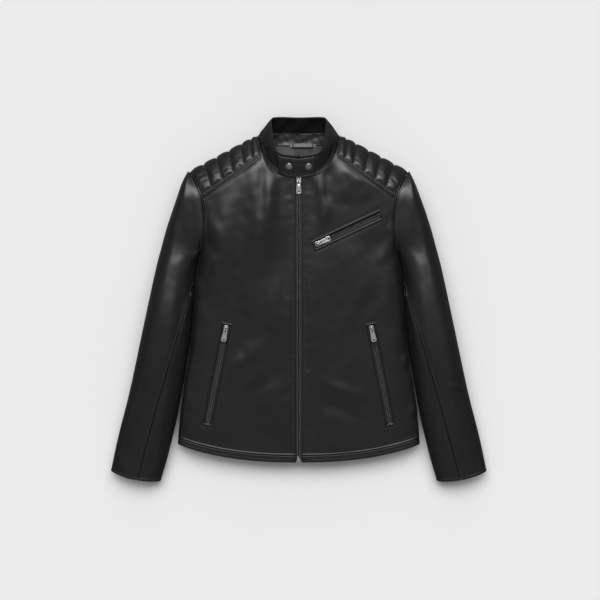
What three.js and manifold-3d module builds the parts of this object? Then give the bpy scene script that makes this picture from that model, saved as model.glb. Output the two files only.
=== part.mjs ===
// A black leather riding jacket, closed and lying flat on its back.
// Millimetres. +X is the wearer's left, +Y runs from the hem to the collar, +Z is up off the surface it lies on.
// The origin is the centre of the jacket's outline, on that surface.
import * as THREE from "three";
import Module from "manifold-3d";
import { mergeVertices } from "three/addons/utils/BufferGeometryUtils.js";

const wasm = await Module();
wasm.setup();

// ---------------------------------------------------------------- driving dimensions
const HEM_Y = -346; // the front hem at the centre
const HEM_RISE = 38; // how far the hem sweeps up at the sides
const NECK_Y = 257; // the collar seam at the centre front
const FRONT_HEM_Z = 38; // height of the front's surface at the hem
const FRONT_NECK_Z = 84; // and at the collar seam
const FRONT_CROWN = 0.06; // share of its height that the front loses from the zip to the side
const SIDE_ROUND = 50; // width over which the front rolls down to the side seam
const BACK_ROUND = 26; // and the back rolls up to it
const SHOULDER_ROUND = 72; // width over which the front rolls down to the shoulder fold
const SEAM_GAP = 0.8; // half the gap at a seam
const FIT_GAP = 0.3; // between touching pieces
const LEATHER = 1.6;
const LINING = 1;
const LINING_DEPTH = 9; // of the body lining below the leather's outer face, which leaves room for the pockets
const SLEEVE_LINING_DEPTH = 6;
const HEM_BAND = 13;
const YOKE_WADDING = 3;
const WADDING_DEPTH = 3.6; // of the wadding below the yoke's outer face

const ARMPIT_Y = 60; // the side seam and the sleeve's underarm are free of each other below this
const ARMHOLE_Y = 150; // the armhole seam lies flat above this
const NECK_POINT = [91, 348]; // where the shoulder fold meets the collar
const SHOULDER_TIP = [233, 272]; // where it meets the sleeve
const YOKE_NECK = [80, 303]; // the front yoke seam at the collar
const YOKE_ARM_Y = 213.6; // and at the armhole
const BACK_YOKE_NECK = [70, 349];
const BACK_YOKE_ARM_Y = 222;

// Curves as [y, value] points, from the hem up.
const BODY_SIDE = [
  [-346, 262], [-308, 259], [-214, 250], [-65, 229], [60, 221], [110, 207],
  [154, 199], [200, 201], [235, 211], [262, 225], [275, 236],
];
const BODY_EDGE_Z = [[-346, 17], [-200, 25], [-65, 30], [60, 30], [200, 22], [262, 14], [346, 15]];

// The sleeve's stations, from the shoulder tip to the cuff: the inner and outer edge in plan,
// the top's height where the sleeve is a free tube, and the height of its widest line.
const SLEEVE = [
  { inner: [227.5, 262], outer: [236, 273], top: 30, edge: 13 },
  { inner: [216.5, 241], outer: [249, 247], top: 42, edge: 17 },
  { inner: [205.7, 213], outer: [261, 214], top: 52, edge: 20 },
  { inner: [200.5, 154], outer: [280, 158], top: 62, edge: 24 },
  { inner: [208.5, 105], outer: [293, 110], top: 68, edge: 27 },
  { inner: [223.0, 45], outer: [306, 58], top: 74, edge: 30 },
  { inner: [232.5, -78], outer: [331, -58], top: 76, edge: 30 },
  { inner: [254.5, -214], outer: [360, -192], top: 62, edge: 25 },
  { inner: [275.0, -316], outer: [386, -293], top: 48, edge: 19 },
  { inner: [295.5, -388], outer: [402, -366], top: 38, edge: 15 },
];
const ARMPIT_STATION = 5;
const CUFF_BULGE = 6; // how far the cuff's mouth bows out
const FOREARM_SEAM = [0, 0, 0, 0, 0, 0, 0.22, 0.38, 0.43, 0.45]; // share of the width from the inner edge, per station
const HIND_SEAM = [0, 0, 0, 0, 0, 0, 0.3, 0.5, 0.55, 0.58];

// The collar, from the centre front round to the centre back: its seam and its rim.
const COLLAR = [
  { seam: [2, 259, 88], rim: [2, 298, 107] },
  { seam: [39, 268, 86], rim: [38, 304, 106] },
  { seam: [61, 286, 80], rim: [50, 319, 98] },
  { seam: [73, 311, 67], rim: [55, 342, 80] },
  { seam: [80, 334, 48], rim: [57, 364, 59] },
  { seam: [83, 349, 21], rim: [57, 381, 41] },
  { seam: [46, 354, 6], rim: [46, 387, 32] },
  { seam: [0, 353, 5], rim: [0, 386, 31] },
];

const ZIP = { chain: 3.4, neck: 0.8, tape: 14, half: 1.2, tapeHalf: 0.4, sunk: 2.4, pocketSunk: 3 };
const SLIDER = { length: 14, width: 10.4, plate: 1, clear: 0.4 };
const BRIDGE = { half: 4.5, width: 2.4, window: 3.2, floor: 2.9, roof: 6.1, top: 7.2 };
const PULL = { pivot: [-1.5, 4.9], bar: 1.4, thick: 1.2, eye: 6, eyeWidth: 3.4, length: 27, root: 3.6, tip: 5.8 };
const WELT = { inner: 6.9, outer: 10.6, low: 4.1, high: 4.9 };
const POCKET_WINDOW = 6.5; // half the slot in the leather
const MAIN_WINDOW = 8; // half the gap between the front edges
const MAIN_TOP_Y = 249; // the slider's middle when the jacket is closed
const HAND_POCKET = { from: [194, -262], to: [154, -62] };
const CHEST_POCKET = { from: [168, 176], to: [41, 117] };
const SNAP_X = 20;
const TAB = { from: -41, to: 33, low: 0.02, high: 0.9 };
const SNAP_UP = 0.5; // how far up the collar the fasteners sit

// ---------------------------------------------------------------- colours
const finish = (color, roughness, metalness = 0) => new THREE.MeshStandardMaterial({ color, roughness, metalness });
const leather = finish(0x1d1d1d, 0.42);
const quilted = finish(0x202020, 0.4);
const fabric = finish(0x151515, 0.7);
const tapeCloth = finish(0x121212, 0.85);
const wadding = finish(0x8a8a86, 0.95);
const teethMetal = finish(0x2b2b2c, 0.45, 0.6);
const nickel = finish(0x9a9a9c, 0.3, 1);
const polished = finish(0xd8d8da, 0.18, 1);

// ---------------------------------------------------------------- small helpers
const clamp = (x, a, b) => Math.min(b, Math.max(a, x));
const mix = (a, b, t) => a + (b - a) * t;
const mix2 = (p, q, t) => [mix(p[0], q[0], t), mix(p[1], q[1], t)];
const smooth = (a, b, x) => {
  const t = clamp((x - a) / (b - a), 0, 1);
  return t * t * (3 - 2 * t);
};
// A quarter of an ellipse: 0 at an edge, 1 from r inwards.
const roll = (s, r) => (s >= r ? 1 : Math.sqrt(Math.max(0, 1 - (1 - s / r) ** 2)));
const easeOut = (t) => Math.sin((t * Math.PI) / 2);
const easeIn = (t) => 1 - Math.cos((t * Math.PI) / 2);

// Cubic interpolation of evenly indexed values at a fractional index.
function spline(values, at) {
  const n = values.length - 1;
  const i = clamp(Math.floor(at), 0, n - 1);
  const t = clamp(at - i, 0, 1);
  const slope = (k) => (values[Math.min(n, k + 1)] - values[Math.max(0, k - 1)]) / (k > 0 && k < n ? 2 : 1);
  const [a, b, p, q] = [values[i], values[i + 1], slope(i), slope(i + 1)];
  return a + p * t + (3 * (b - a) - 2 * p - q) * t * t + (2 * (a - b) + p + q) * t * t * t;
}

// The value of a curve of [y, value] points at y, held level past its ends.
function along(points, y) {
  const last = points.length - 1;
  if (y <= points[0][0]) return points[0][1];
  if (y >= points[last][0]) return points[last][1];
  const i = points.findIndex((p, k) => k < last && y <= points[k + 1][0]);
  const slope = (k) => {
    const [a, b] = [points[Math.max(0, k - 1)], points[Math.min(last, k + 1)]];
    return (b[1] - a[1]) / (b[0] - a[0]);
  };
  const [p, q] = [points[i], points[i + 1]];
  const h = q[0] - p[0];
  const t = (y - p[0]) / h;
  const rise = q[1] - p[1];
  return p[1] + slope(i) * h * t + (3 * rise - h * (2 * slope(i) + slope(i + 1))) * t * t
    + (h * (slope(i) + slope(i + 1)) - 2 * rise) * t * t * t;
}

// ---------------------------------------------------------------- the jacket's surfaces
const zipHeight = (y) => mix(FRONT_HEM_Z, FRONT_NECK_Z, (y - HEM_Y) / (NECK_Y - HEM_Y));
const hemY = (x) => HEM_Y + HEM_RISE * (Math.abs(x) / 259) ** 2.4;
const armholeX = (y) => along(BODY_SIDE, y);
const closing = (y) => 1 - smooth(ARMPIT_Y, ARMHOLE_Y, y); // 1 where body and sleeve are separate tubes

// Distance inwards from the shoulder fold.
function fromShoulder(x, y) {
  const [dx, dy] = [SHOULDER_TIP[0] - NECK_POINT[0], SHOULDER_TIP[1] - NECK_POINT[1]];
  return ((x - NECK_POINT[0]) * dy - (y - NECK_POINT[1]) * dx) / Math.hypot(dx, dy);
}

// Height of the front over (x, y), x counted from the centre; open leaves out the roll to the side.
function frontZ(x, y, open = false) {
  const side = armholeX(y);
  const edge = along(BODY_EDGE_Z, y);
  const crown = 1 - FRONT_CROWN * Math.min(1, x / side) ** 2;
  const rolled = open ? 1 : mix(1, roll(Math.max(0, side - x), SIDE_ROUND), closing(y));
  return edge + (zipHeight(y) * crown - edge) * rolled * roll(Math.max(0, fromShoulder(x, y)), SHOULDER_ROUND);
}

// Height of the back over (x, y).
function backZ(x, y) {
  const side = mix(1, roll(Math.max(0, armholeX(y) - x), BACK_ROUND), closing(y));
  const top = roll(Math.max(0, fromShoulder(x, y)), BACK_ROUND);
  return along(BODY_EDGE_Z, y) * (1 - Math.min(side, top));
}

// The sleeve's surface at station s, round the section: turn 0 is its inner edge, 0.25 the top, 0.5 the outer edge.
function sleevePoint(s, turn) {
  const pick = (key) => [0, 1].map((k) => spline(SLEEVE.map((p) => p[key][k]), s));
  const [inner, outer] = [pick("inner"), pick("outer")];
  const width = Math.hypot(outer[0] - inner[0], outer[1] - inner[1]);
  const across = (1 - Math.cos(turn * 2 * Math.PI)) / 2;
  const [x, y] = mix2(inner, outer, across);
  const free = closing(inner[1]);
  const edge = spline(SLEEVE.map((p) => p.edge), s);
  const top = mix(frontZ(inner[0], inner[1], true), spline(SLEEVE.map((p) => p.top), s), free);
  const radius = width / 2;
  const isTop = turn <= 0.5;
  const reach = isTop ? radius : Math.min(radius, BACK_ROUND);
  const rolled = roll((1 - across) * width, reach) * mix(1, roll(across * width, reach), free);
  const bow = CUFF_BULGE * 4 * across * (1 - across) * smooth(7, 9, s);
  return [x, y - bow, isTop ? edge + (top - edge) * rolled : edge * (1 - rolled)];
}
const turnOf = (share) => Math.acos(1 - 2 * share) / (2 * Math.PI);

// The collar's middle surface: t from -1 to 1 runs from the wearer's right front end round the back to the left.
const COLLAR_ROUND = [
  ...COLLAR.map(({ seam, rim }) => ({ seam: [-seam[0], seam[1], seam[2]], rim: [-rim[0], rim[1], rim[2]] })),
  ...COLLAR.slice(0, -1).reverse(),
];
function collarPoint(index, up) {
  const pick = (key, k) => spline(COLLAR_ROUND.map((p) => p[key][k]), index);
  const bow = 2.2 * 4 * up * (1 - up);
  const p = [0, 1, 2].map((k) => mix(pick("seam", k), pick("rim", k), up));
  const out = Math.hypot(p[0], p[1] - 325) || 1;
  return [p[0] + (bow * p[0]) / out, p[1] + (bow * (p[1] - 325)) / out, p[2]];
}

// The front of the collar by x, carried straight across the gap between its two ends.
function collarFront(x, up) {
  const last = COLLAR_ROUND.length - 1;
  const at = (k) => collarPoint(x < 0 ? k : last - k, up);
  const reach = Math.abs(at(0)[0]);
  if (Math.abs(x) < reach) {
    const [right, left] = [collarPoint(0, up), collarPoint(last, up)];
    return [0, 1, 2].map((k) => mix(right[k], left[k], (x + reach) / (2 * reach)));
  }
  let [near, far] = [0, 3];
  for (let i = 0; i < 30; i++) {
    const middle = (near + far) / 2;
    if (Math.abs(at(middle)[0]) < Math.abs(x)) near = middle;
    else far = middle;
  }
  return at(near);
}

// ---------------------------------------------------------------- building closed solids
const vector = (p) => new THREE.Vector3(...p);

// A closed sheet over a surface: its outer and inner faces lie at two distances along the surface's normal.
// Where closed is true the sheet joins up round u, as a tube with open ends.
function sheet(surface, nu, nv, outer, inner, closed = false) {
  const step = 1e-3;
  const at = (u, v) => vector(surface(u, v));
  const wrap = (u) => (closed ? u - Math.floor(u) : clamp(u, 0, 1));
  const normal = (u, v) => {
    const [ua, ub] = closed ? [u - step, u + step] : [clamp(u - step, 0, 1), clamp(u + step, 0, 1)];
    const [va, vb] = [clamp(v - step, 0, 1), clamp(v + step, 0, 1)];
    const du = at(wrap(ub), v).sub(at(wrap(ua), v));
    const dv = at(u, vb).sub(at(u, va));
    return du.cross(dv).normalize();
  };
  const columns = closed ? nu : nu + 1;
  const positions = [];
  for (const distance of [outer, inner])
    for (let j = 0; j <= nv; j++)
      for (let i = 0; i < columns; i++) {
        const [u, v] = [i / nu, j / nv];
        positions.push(...at(u, v).addScaledVector(normal(u, v), distance).toArray());
      }
  const id = (side, i, j) => side * columns * (nv + 1) + j * columns + (closed ? i % nu : i);
  const index = [];
  const quad = (a, b, c, d) => index.push(a, b, c, a, c, d);
  for (let j = 0; j < nv; j++)
    for (let i = 0; i < nu; i++) {
      quad(id(0, i, j), id(0, i + 1, j), id(0, i + 1, j + 1), id(0, i, j + 1));
      quad(id(1, i, j), id(1, i, j + 1), id(1, i + 1, j + 1), id(1, i + 1, j));
    }
  for (let i = 0; i < nu; i++) {
    quad(id(0, i, 0), id(1, i, 0), id(1, i + 1, 0), id(0, i + 1, 0));
    quad(id(0, i, nv), id(0, i + 1, nv), id(1, i + 1, nv), id(1, i, nv));
  }
  if (!closed)
    for (let j = 0; j < nv; j++) {
      quad(id(0, 0, j), id(0, 0, j + 1), id(1, 0, j + 1), id(1, 0, j));
      quad(id(0, nu, j), id(1, nu, j), id(1, nu, j + 1), id(0, nu, j + 1));
    }
  return facingOut(indexed(positions, index));
}

function indexed(positions, index) {
  return new THREE.BufferGeometry()
    .setAttribute("position", new THREE.Float32BufferAttribute(positions, 3))
    .setIndex(index);
}

// Turns every face round if the mesh is inside out.
function facingOut(geometry) {
  const p = geometry.getAttribute("position");
  const index = [...geometry.index.array];
  const corner = (k) => new THREE.Vector3().fromBufferAttribute(p, index[k]);
  let volume = 0;
  for (let k = 0; k < index.length; k += 3) volume += corner(k).dot(corner(k + 1).cross(corner(k + 2)));
  if (volume < 0) for (let k = 0; k < index.length; k += 3) [index[k], index[k + 1]] = [index[k + 1], index[k]];
  return geometry.setIndex(index);
}

function solid(geometry) {
  const g = geometry.clone();
  g.deleteAttribute("normal");
  g.deleteAttribute("uv");
  const merged = mergeVertices(g, 1e-4);
  return new wasm.Manifold(new wasm.Mesh({
    numProp: 3,
    vertProperties: new Float32Array(merged.getAttribute("position").array),
    triVerts: new Uint32Array(merged.index.array),
  }));
}

function geometryOf(manifold) {
  const { vertProperties, triVerts } = manifold.getMesh();
  return indexed([...vertProperties], [...triVerts]);
}

const box = (sx, sy, sz, x = 0, y = 0, z = 0) => new THREE.BoxGeometry(sx, sy, sz).translate(x, y, z);
const joined = (...geometries) => geometryOf(geometries.map(solid).reduce((a, b) => a.add(b)));
const cut = (geometry, ...cutters) => geometryOf(cutters.map(solid).reduce((a, b) => a.subtract(b), solid(geometry)));

// A plate from an outline of [x, y] points, from z = low to z = high, with holes of the same kind.
function plate(outline, low, high, holes = []) {
  const shape = new THREE.Shape(outline.map(([x, y]) => new THREE.Vector2(x, y)));
  shape.holes = holes.map((h) => new THREE.Path(h.map(([x, y]) => new THREE.Vector2(x, y))));
  return new THREE.ExtrudeGeometry(shape, { depth: high - low, bevelEnabled: false }).translate(0, 0, low);
}
const rectangle = (x0, x1, y0, y1) => [[x0, y0], [x1, y0], [x1, y1], [x0, y1]];

const jacket = new THREE.Group();
function add(name, geometry, material, parent = jacket) {
  const mesh = new THREE.Mesh(geometry, material);
  mesh.name = name;
  parent.add(mesh);
  return mesh;
}

// ---------------------------------------------------------------- zips
// A zip's own frame: +Y runs along it towards the closed end, where the slider rests, and +Z off the leather.
function zipFrame(origin, towards, outwards) {
  const y = vector(towards).normalize();
  const x = y.clone().cross(vector(outwards)).normalize();
  const z = x.clone().cross(y);
  const group = new THREE.Group();
  group.quaternion.setFromRotationMatrix(new THREE.Matrix4().makeBasis(x, y, z));
  group.position.copy(vector(origin));
  jacket.add(group);
  return group;
}

const mainAxis = [0, NECK_Y - HEM_Y, zipHeight(NECK_Y) - zipHeight(HEM_Y)];
const mainZip = zipFrame([0, MAIN_TOP_Y, zipHeight(MAIN_TOP_Y) - ZIP.sunk], mainAxis, [0, 0, 1]);

// A pocket's frame lies in the plane of the leather round its slot, at its closed end.
function pocketFrame(pocket, side) {
  const on = ([x, y]) => new THREE.Vector3(side * x, y, frontZ(x, y));
  const [low, high] = [on(pocket.from), on(pocket.to)];
  const towards = high.clone().sub(low);
  const middle = mix2(pocket.from, pocket.to, 0.5);
  const crossing = new THREE.Vector2(towards.y, -towards.x).normalize().multiplyScalar(12);
  const edge = (k) => on([middle[0] + side * k * crossing.x, middle[1] + k * crossing.y]);
  const outwards = edge(1).sub(edge(-1)).cross(towards).normalize();
  const origin = high.clone().addScaledVector(outwards, -ZIP.pocketSunk);
  return { frame: zipFrame(origin.toArray(), towards.toArray(), outwards.toArray()), length: towards.length() };
}

function sliderGeometry() {
  const low = ZIP.half + SLIDER.clear;
  const [w, l] = [SLIDER.width / 2, SLIDER.length / 2];
  const outline = [[-w * 0.72, -l], [w * 0.72, -l], [w, -l * 0.2], [w, l * 0.7], [w * 0.6, l], [-w * 0.6, l],
    [-w, l * 0.7], [-w, -l * 0.2]];
  const bridge = plate(
    [[-BRIDGE.half, low], [BRIDGE.half, low], [BRIDGE.half, BRIDGE.top - 1], [BRIDGE.half - 1.4, BRIDGE.top],
      [1.4 - BRIDGE.half, BRIDGE.top], [-BRIDGE.half, BRIDGE.top - 1]],
    -BRIDGE.width / 2, BRIDGE.width / 2,
    [rectangle(-BRIDGE.window, BRIDGE.window, BRIDGE.floor, BRIDGE.roof)],
  ).applyMatrix4(new THREE.Matrix4().makeBasis(vector([0, 1, 0]), vector([0, 0, 1]), vector([1, 0, 0])));
  return joined(
    plate(outline, low, low + SLIDER.plate),
    plate(outline, -low - SLIDER.plate, -low),
    box(0.9, 8, 2 * low + 0.4, 0, 2, 0),
    bridge,
  );
}

function pullGeometry() {
  const [pivotY, z] = PULL.pivot;
  const top = pivotY + PULL.bar / 2;
  const bottom = top - PULL.length;
  const outline = [[-PULL.root, top], [-PULL.tip, bottom + 3], [-PULL.tip + 1.6, bottom], [PULL.tip - 1.6, bottom],
    [PULL.tip, bottom + 3], [PULL.root, top]];
  const eyeTop = pivotY - PULL.bar / 2;
  const eye = rectangle(-PULL.eyeWidth / 2, PULL.eyeWidth / 2, eyeTop - PULL.eye, eyeTop);
  const slot = rectangle(-2.4, 2.4, bottom + 2.4, bottom + 5);
  return plate(outline, z - PULL.thick / 2, z + PULL.thick / 2, [eye, slot]);
}

// The two strips of teeth with the slider's neck between them, joined by the stop at the open end.
function pocketTeeth(low, high) {
  const strip = (side) => box(ZIP.chain - ZIP.neck, high - low, 2 * ZIP.half,
    (side * (ZIP.chain + ZIP.neck)) / 2, (low + high) / 2, 0);
  return joined(strip(-1), strip(1), box(2 * ZIP.chain, 2, 2 * ZIP.half, 0, low + 0.9, 0));
}

function pocket(name, shape, side) {
  const { frame, length } = pocketFrame(shape, side);
  const [top, bottom] = [9, -length - 3];
  const slit = ZIP.chain + FIT_GAP;
  add(`${name}_zip_tape`,
    plate(rectangle(-ZIP.tape, ZIP.tape, bottom - 6, top + 6), -ZIP.tapeHalf, ZIP.tapeHalf,
      [rectangle(-slit, slit, bottom - 0.5, top)]),
    tapeCloth, frame);
  add(`${name}_zip_teeth`, pocketTeeth(bottom, top - 1), teethMetal, frame);
  add(`${name}_zip_slider`, sliderGeometry(), nickel, frame);
  add(`${name}_zip_pull`, pullGeometry(), polished, frame);
  add(`${name}_welt`,
    plate(rectangle(-WELT.outer, WELT.outer, bottom - 3, top + 3), WELT.low, WELT.high,
      [rectangle(-WELT.inner, WELT.inner, bottom + 0.5, top - 0.3)]),
    leather, frame);
  const [reach, start] = name === "chest" ? [60, bottom + 14] : [112, bottom - 8];
  const bag = name === "right" ? rectangle(-20, reach, start, top + 8) : rectangle(-reach, 20, start, top + 8);
  add(`${name}_pocket_bag`, plate(bag, -5, -3.6), fabric, frame);
  return plate(rectangle(-POCKET_WINDOW, POCKET_WINDOW, bottom, top), -20, 20)
    .applyMatrix4(new THREE.Matrix4().compose(frame.position, frame.quaternion, new THREE.Vector3(1, 1, 1)));
}

const slots = {
  right: [pocket("right", HAND_POCKET, -1)],
  left: [pocket("left", HAND_POCKET, 1), pocket("chest", CHEST_POCKET, 1)],
};

function mainZipParts() {
  const length = (MAIN_TOP_Y - HEM_Y) * Math.hypot(1, mainAxis[2] / mainAxis[1]);
  const [top, bottom] = [6, 2.5 - length];
  const boxLength = 9;
  const middle = (top + bottom + boxLength) / 2;
  for (const [name, side] of [["right", -1], ["left", 1]]) {
    const inner = ZIP.chain + FIT_GAP;
    add(`main_zip_${name}_tape`,
      box(ZIP.tape - inner, top - bottom, 2 * ZIP.tapeHalf, (side * (ZIP.tape + inner)) / 2, (top + bottom) / 2, 0),
      tapeCloth, mainZip);
    add(`main_zip_${name}_teeth`,
      box(ZIP.chain - ZIP.neck, top - bottom - boxLength - 3.6, 2 * ZIP.half,
        (side * (ZIP.chain + ZIP.neck)) / 2, middle - 1.2, 0),
      teethMetal, mainZip);
    add(`main_zip_${name}_top_stop`, box(2.4, 2.6, 2.2, side * 2.2, top - 1.5, 0), nickel, mainZip);
  }
  add("main_zip_retainer_box", joined(
    box(3.2, boxLength, 3.2, -1.8, bottom + boxLength / 2, 0),
    box(2 * 3.4, 3, 3.2, 0, bottom + 1.5, 0),
  ), polished, mainZip);
  add("main_zip_insertion_pin", box(2, boxLength - 3.6, 2, 2.2, bottom + 3.3 + (boxLength - 3.6) / 2, 0), nickel, mainZip);
  add("main_zip_slider", sliderGeometry(), nickel, mainZip);
  add("main_zip_pull", pullGeometry(), polished, mainZip);
}
mainZipParts();

// ---------------------------------------------------------------- body
const neckLine = COLLAR.map(({ seam }) => [seam[0], seam[1]]);
// Top edge of a front panel at x: the collar seam near the centre, then the yoke seam.
function frontTop(x) {
  const yoke = mix(YOKE_NECK[1], YOKE_ARM_Y, (x - YOKE_NECK[0]) / (armholeX(YOKE_ARM_Y) - YOKE_NECK[0]));
  if (x >= YOKE_NECK[0]) return yoke - SEAM_GAP;
  const neck = along(neckLine.slice(0, 5), x * 0.97) - 3 - 4 * smooth(40, YOKE_NECK[0], x);
  return Math.min(neck, yoke - SEAM_GAP + 400 * (1 - x / YOKE_NECK[0]));
}

// Where an edge that runs across the body meets the side.
function sideEnd(edge) {
  let y = edge(258);
  for (let i = 0; i < 5; i++) y = edge(armholeX(y));
  return y;
}

// A front panel between two edges, as a surface over (u, v); start is its edge by the zip.
function frontPanel(side, start, bottom, top, inset = 0) {
  const [low, high] = [sideEnd(bottom), sideEnd(top)];
  return (u, v) => {
    const share = easeOut(u);
    const x = mix(start, armholeX(mix(low, high, v)) - SEAM_GAP - inset, share);
    const y = mix(bottom(x), top(x), v);
    return [side * x, y, frontZ(x + (SEAM_GAP + inset) * share, y) + 0.4];
  };
}

// The back, from the hem to a top edge, full width.
function backPanel(bottom, top, inset = 0) {
  const [low, high] = [sideEnd(bottom), sideEnd(top)];
  return (u, v) => {
    const across = Math.sin((u * 2 - 1) * (Math.PI / 2));
    const x = across * (armholeX(mix(low, high, v)) - SEAM_GAP - inset);
    const y = mix(bottom(Math.abs(x)), top(Math.abs(x)), v);
    return [x, y, Math.max(0, backZ(Math.abs(x) + SEAM_GAP, y) - 0.4)];
  };
}

// A shoulder yoke: u from the collar to the armhole, v from the front seam over the shoulder fold to the back seam.
function yoke(side) {
  return (u, v) => {
    const front = v <= 0.5;
    const t = front ? easeOut(v * 2) : easeIn(v * 2 - 1);
    const foldY = SHOULDER_TIP[1];
    const neck = front ? mix2([YOKE_NECK[0] + 2, YOKE_NECK[1]], NECK_POINT, t) : mix2(NECK_POINT, BACK_YOKE_NECK, t);
    const armY = front ? mix(YOKE_ARM_Y + SEAM_GAP, foldY, t) : mix(foldY, BACK_YOKE_ARM_Y, t);
    const x = mix(neck[0], armholeX(armY) - SEAM_GAP, u);
    const y = mix(neck[1], armY, u) + SEAM_GAP * (front ? 1 - v * 2 : 0);
    return [side * x, y, front ? frontZ(x, y, true) : backZ(x, y)];
  };
}

const bandTop = (x) => hemY(x) + HEM_BAND;
const above = (edge, gap) => (x) => edge(x) + gap;
function backTop(x) {
  const share = (x - BACK_YOKE_NECK[0]) / (armholeX(BACK_YOKE_ARM_Y) - BACK_YOKE_NECK[0]);
  return mix(BACK_YOKE_NECK[1], BACK_YOKE_ARM_Y, Math.max(0, share)) - 1;
}

for (const [name, side] of [["right", -1], ["left", 1]]) {
  const shell = frontPanel(side, MAIN_WINDOW, above(bandTop, 0.4), frontTop);
  add(`${name}_front`, cut(sheet(shell, 11, 12, 0, -side * LEATHER), ...slots[name]), leather);
  add(`${name}_front_hem_band`, sheet(frontPanel(side, MAIN_WINDOW, hemY, bandTop), 10, 1, 0, -side * LEATHER), leather);
  const lining = frontPanel(side, 3, above(hemY, 6), (x) => frontTop(x) - 4, 6);
  add(`${name}_front_lining`, sheet(lining, 7, 8, -side * LINING_DEPTH, -side * (LINING_DEPTH + LINING)), fabric);
  add(`${name}_shoulder_yoke`, sheet(yoke(side), 7, 8, 0, -side * LEATHER), quilted);
  const filling = (u, v) => yoke(side)(mix(0.06, 0.94, u), mix(0.07, 0.4, v));
  add(`${name}_yoke_wadding`, sheet(filling, 6, 5, -side * WADDING_DEPTH, -side * (WADDING_DEPTH + YOKE_WADDING)), wadding);
}
add("back_panel", sheet(backPanel(above(bandTop, 0.4), backTop), 18, 13, 0, LEATHER), leather);
add("back_hem_band", sheet(backPanel(hemY, bandTop), 18, 1, 0, LEATHER), leather);
const backLining = backPanel(above(hemY, 6), (x) => backTop(x) - 9 - 45 * smooth(20, 75, x), 16);
add("back_lining", sheet(backLining, 14, 10, LEATHER + 2, LEATHER + 2 + LINING), fabric);

// ---------------------------------------------------------------- sleeves
const LAST = SLEEVE.length - 1;
const SLEEVE_SEAM = 0.006; // half a seam's gap, in turns
const seamTurn = (shares) => (s) => turnOf(Math.max(0, spline(shares, s)));
const foreTurn = seamTurn(FOREARM_SEAM);
const hindTurn = (s) => 1 - seamTurn(HIND_SEAM)(s);

// A sleeve panel between two turns round the section, which may change along the sleeve.
function sleevePanel(side, from, to, start, end = LAST) {
  return (u, v) => {
    const s = mix(start, end, v);
    const turn = mix(from(s), to(s), u);
    const [x, y, z] = sleevePoint(s, turn > 1 ? turn - 1 : turn);
    return [side * x, y, z];
  };
}

for (const [name, side] of [["right", -1], ["left", 1]]) {
  const upper = sleevePanel(side, (s) => foreTurn(s) + SLEEVE_SEAM, (s) => hindTurn(s) - SLEEVE_SEAM, 0);
  const under = sleevePanel(side, (s) => hindTurn(s) + SLEEVE_SEAM, (s) => 1 + foreTurn(s) - SLEEVE_SEAM,
    ARMPIT_STATION + 0.35);
  const tube = sleevePanel(side, () => 0, () => 1, ARMPIT_STATION + 0.1, LAST - 0.05);
  const depth = SLEEVE_LINING_DEPTH;
  add(`${name}_upper_sleeve`, sheet(upper, 15, 14, 0, side * LEATHER), leather);
  add(`${name}_under_sleeve`, sheet(under, 8, 8, 0, side * LEATHER), leather);
  add(`${name}_sleeve_lining`, sheet(tube, 14, 6, side * depth, side * (depth + LINING), true), fabric);
}

// ---------------------------------------------------------------- collar
const ends = COLLAR_ROUND.length - 1;
const collar = (low, high) => (u, v) => collarPoint(u * ends, mix(low, high, v));
add("collar_outer", sheet(collar(0, 1), 28, 3, -0.2, -1.8), leather);
add("collar_facing", sheet(collar(0, 1), 28, 3, 1.8, 0.2), leather);
const tabSurface = (u, v) => collarFront(mix(TAB.from, TAB.to, u), mix(TAB.low, TAB.high, v));
add("collar_tab", sheet(tabSurface, 8, 3, 6.4, 4.8), leather);

// A snap fastener on the collar at x, its axis along the collar's outward normal.
function snap(name, x) {
  const p = vector(collarFront(x, SNAP_UP));
  const across = vector(collarFront(x + 1, SNAP_UP)).sub(vector(collarFront(x - 1, SNAP_UP)));
  const up = vector(collarFront(x, SNAP_UP + 0.05)).sub(p);
  const normal = across.cross(up).normalize();
  const group = new THREE.Group();
  group.position.copy(p);
  group.quaternion.setFromUnitVectors(new THREE.Vector3(0, 1, 0), normal);
  jacket.add(group);
  const turned = (points) => new THREE.LatheGeometry(points.map(([r, h]) => new THREE.Vector2(r, h)), 16);
  add(`${name}_snap_cap`, turned([[0, 6.8], [7.3, 6.8], [7.3, 7.4], [5.8, 8.5], [3, 9], [0, 9.1]]), polished, group);
  add(`${name}_snap_socket`, turned([[2.6, 3], [5.5, 3], [5.5, 4.1], [2.6, 4.1], [2.6, 3]]), nickel, group);
  add(`${name}_snap_stud`, turned([[0, 2.2], [5, 2.2], [5, 2.6], [2, 2.6], [2, 3.9], [0, 3.9]]), nickel, group);
}
snap("right", -SNAP_X);
snap("left", SNAP_X);

// ---------------------------------------------------------------- inside the neck
const LOOP = { half: 28, y: 330, z: 5, width: 8, thick: 1.2, rise: 5 };
const loopOutline = [
  [-LOOP.half, 0], [-LOOP.half + 6, 0], [-LOOP.half + 9, LOOP.rise - 1], [LOOP.half - 9, LOOP.rise - 1],
  [LOOP.half - 6, 0], [LOOP.half, 0], [LOOP.half, LOOP.thick], [LOOP.half - 5.4, LOOP.thick],
  [LOOP.half - 8.4, LOOP.rise + 0.2], [-LOOP.half + 8.4, LOOP.rise + 0.2], [-LOOP.half + 5.4, LOOP.thick],
  [-LOOP.half, LOOP.thick],
];
add("hanger_loop", plate(loopOutline, -LOOP.width / 2, LOOP.width / 2).rotateX(Math.PI / 2), leather)
  .position.set(9, LOOP.y, LOOP.z);
add("blank_label", box(38, 22, 0.5, 10, 312, 5.3), fabric);

export default jacket;
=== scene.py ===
"""Looks of a black leather riding jacket that lies closed on its back.

Surfaces are worked out in millimetres, and meshes are made in metres.
"""

from __future__ import annotations

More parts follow.
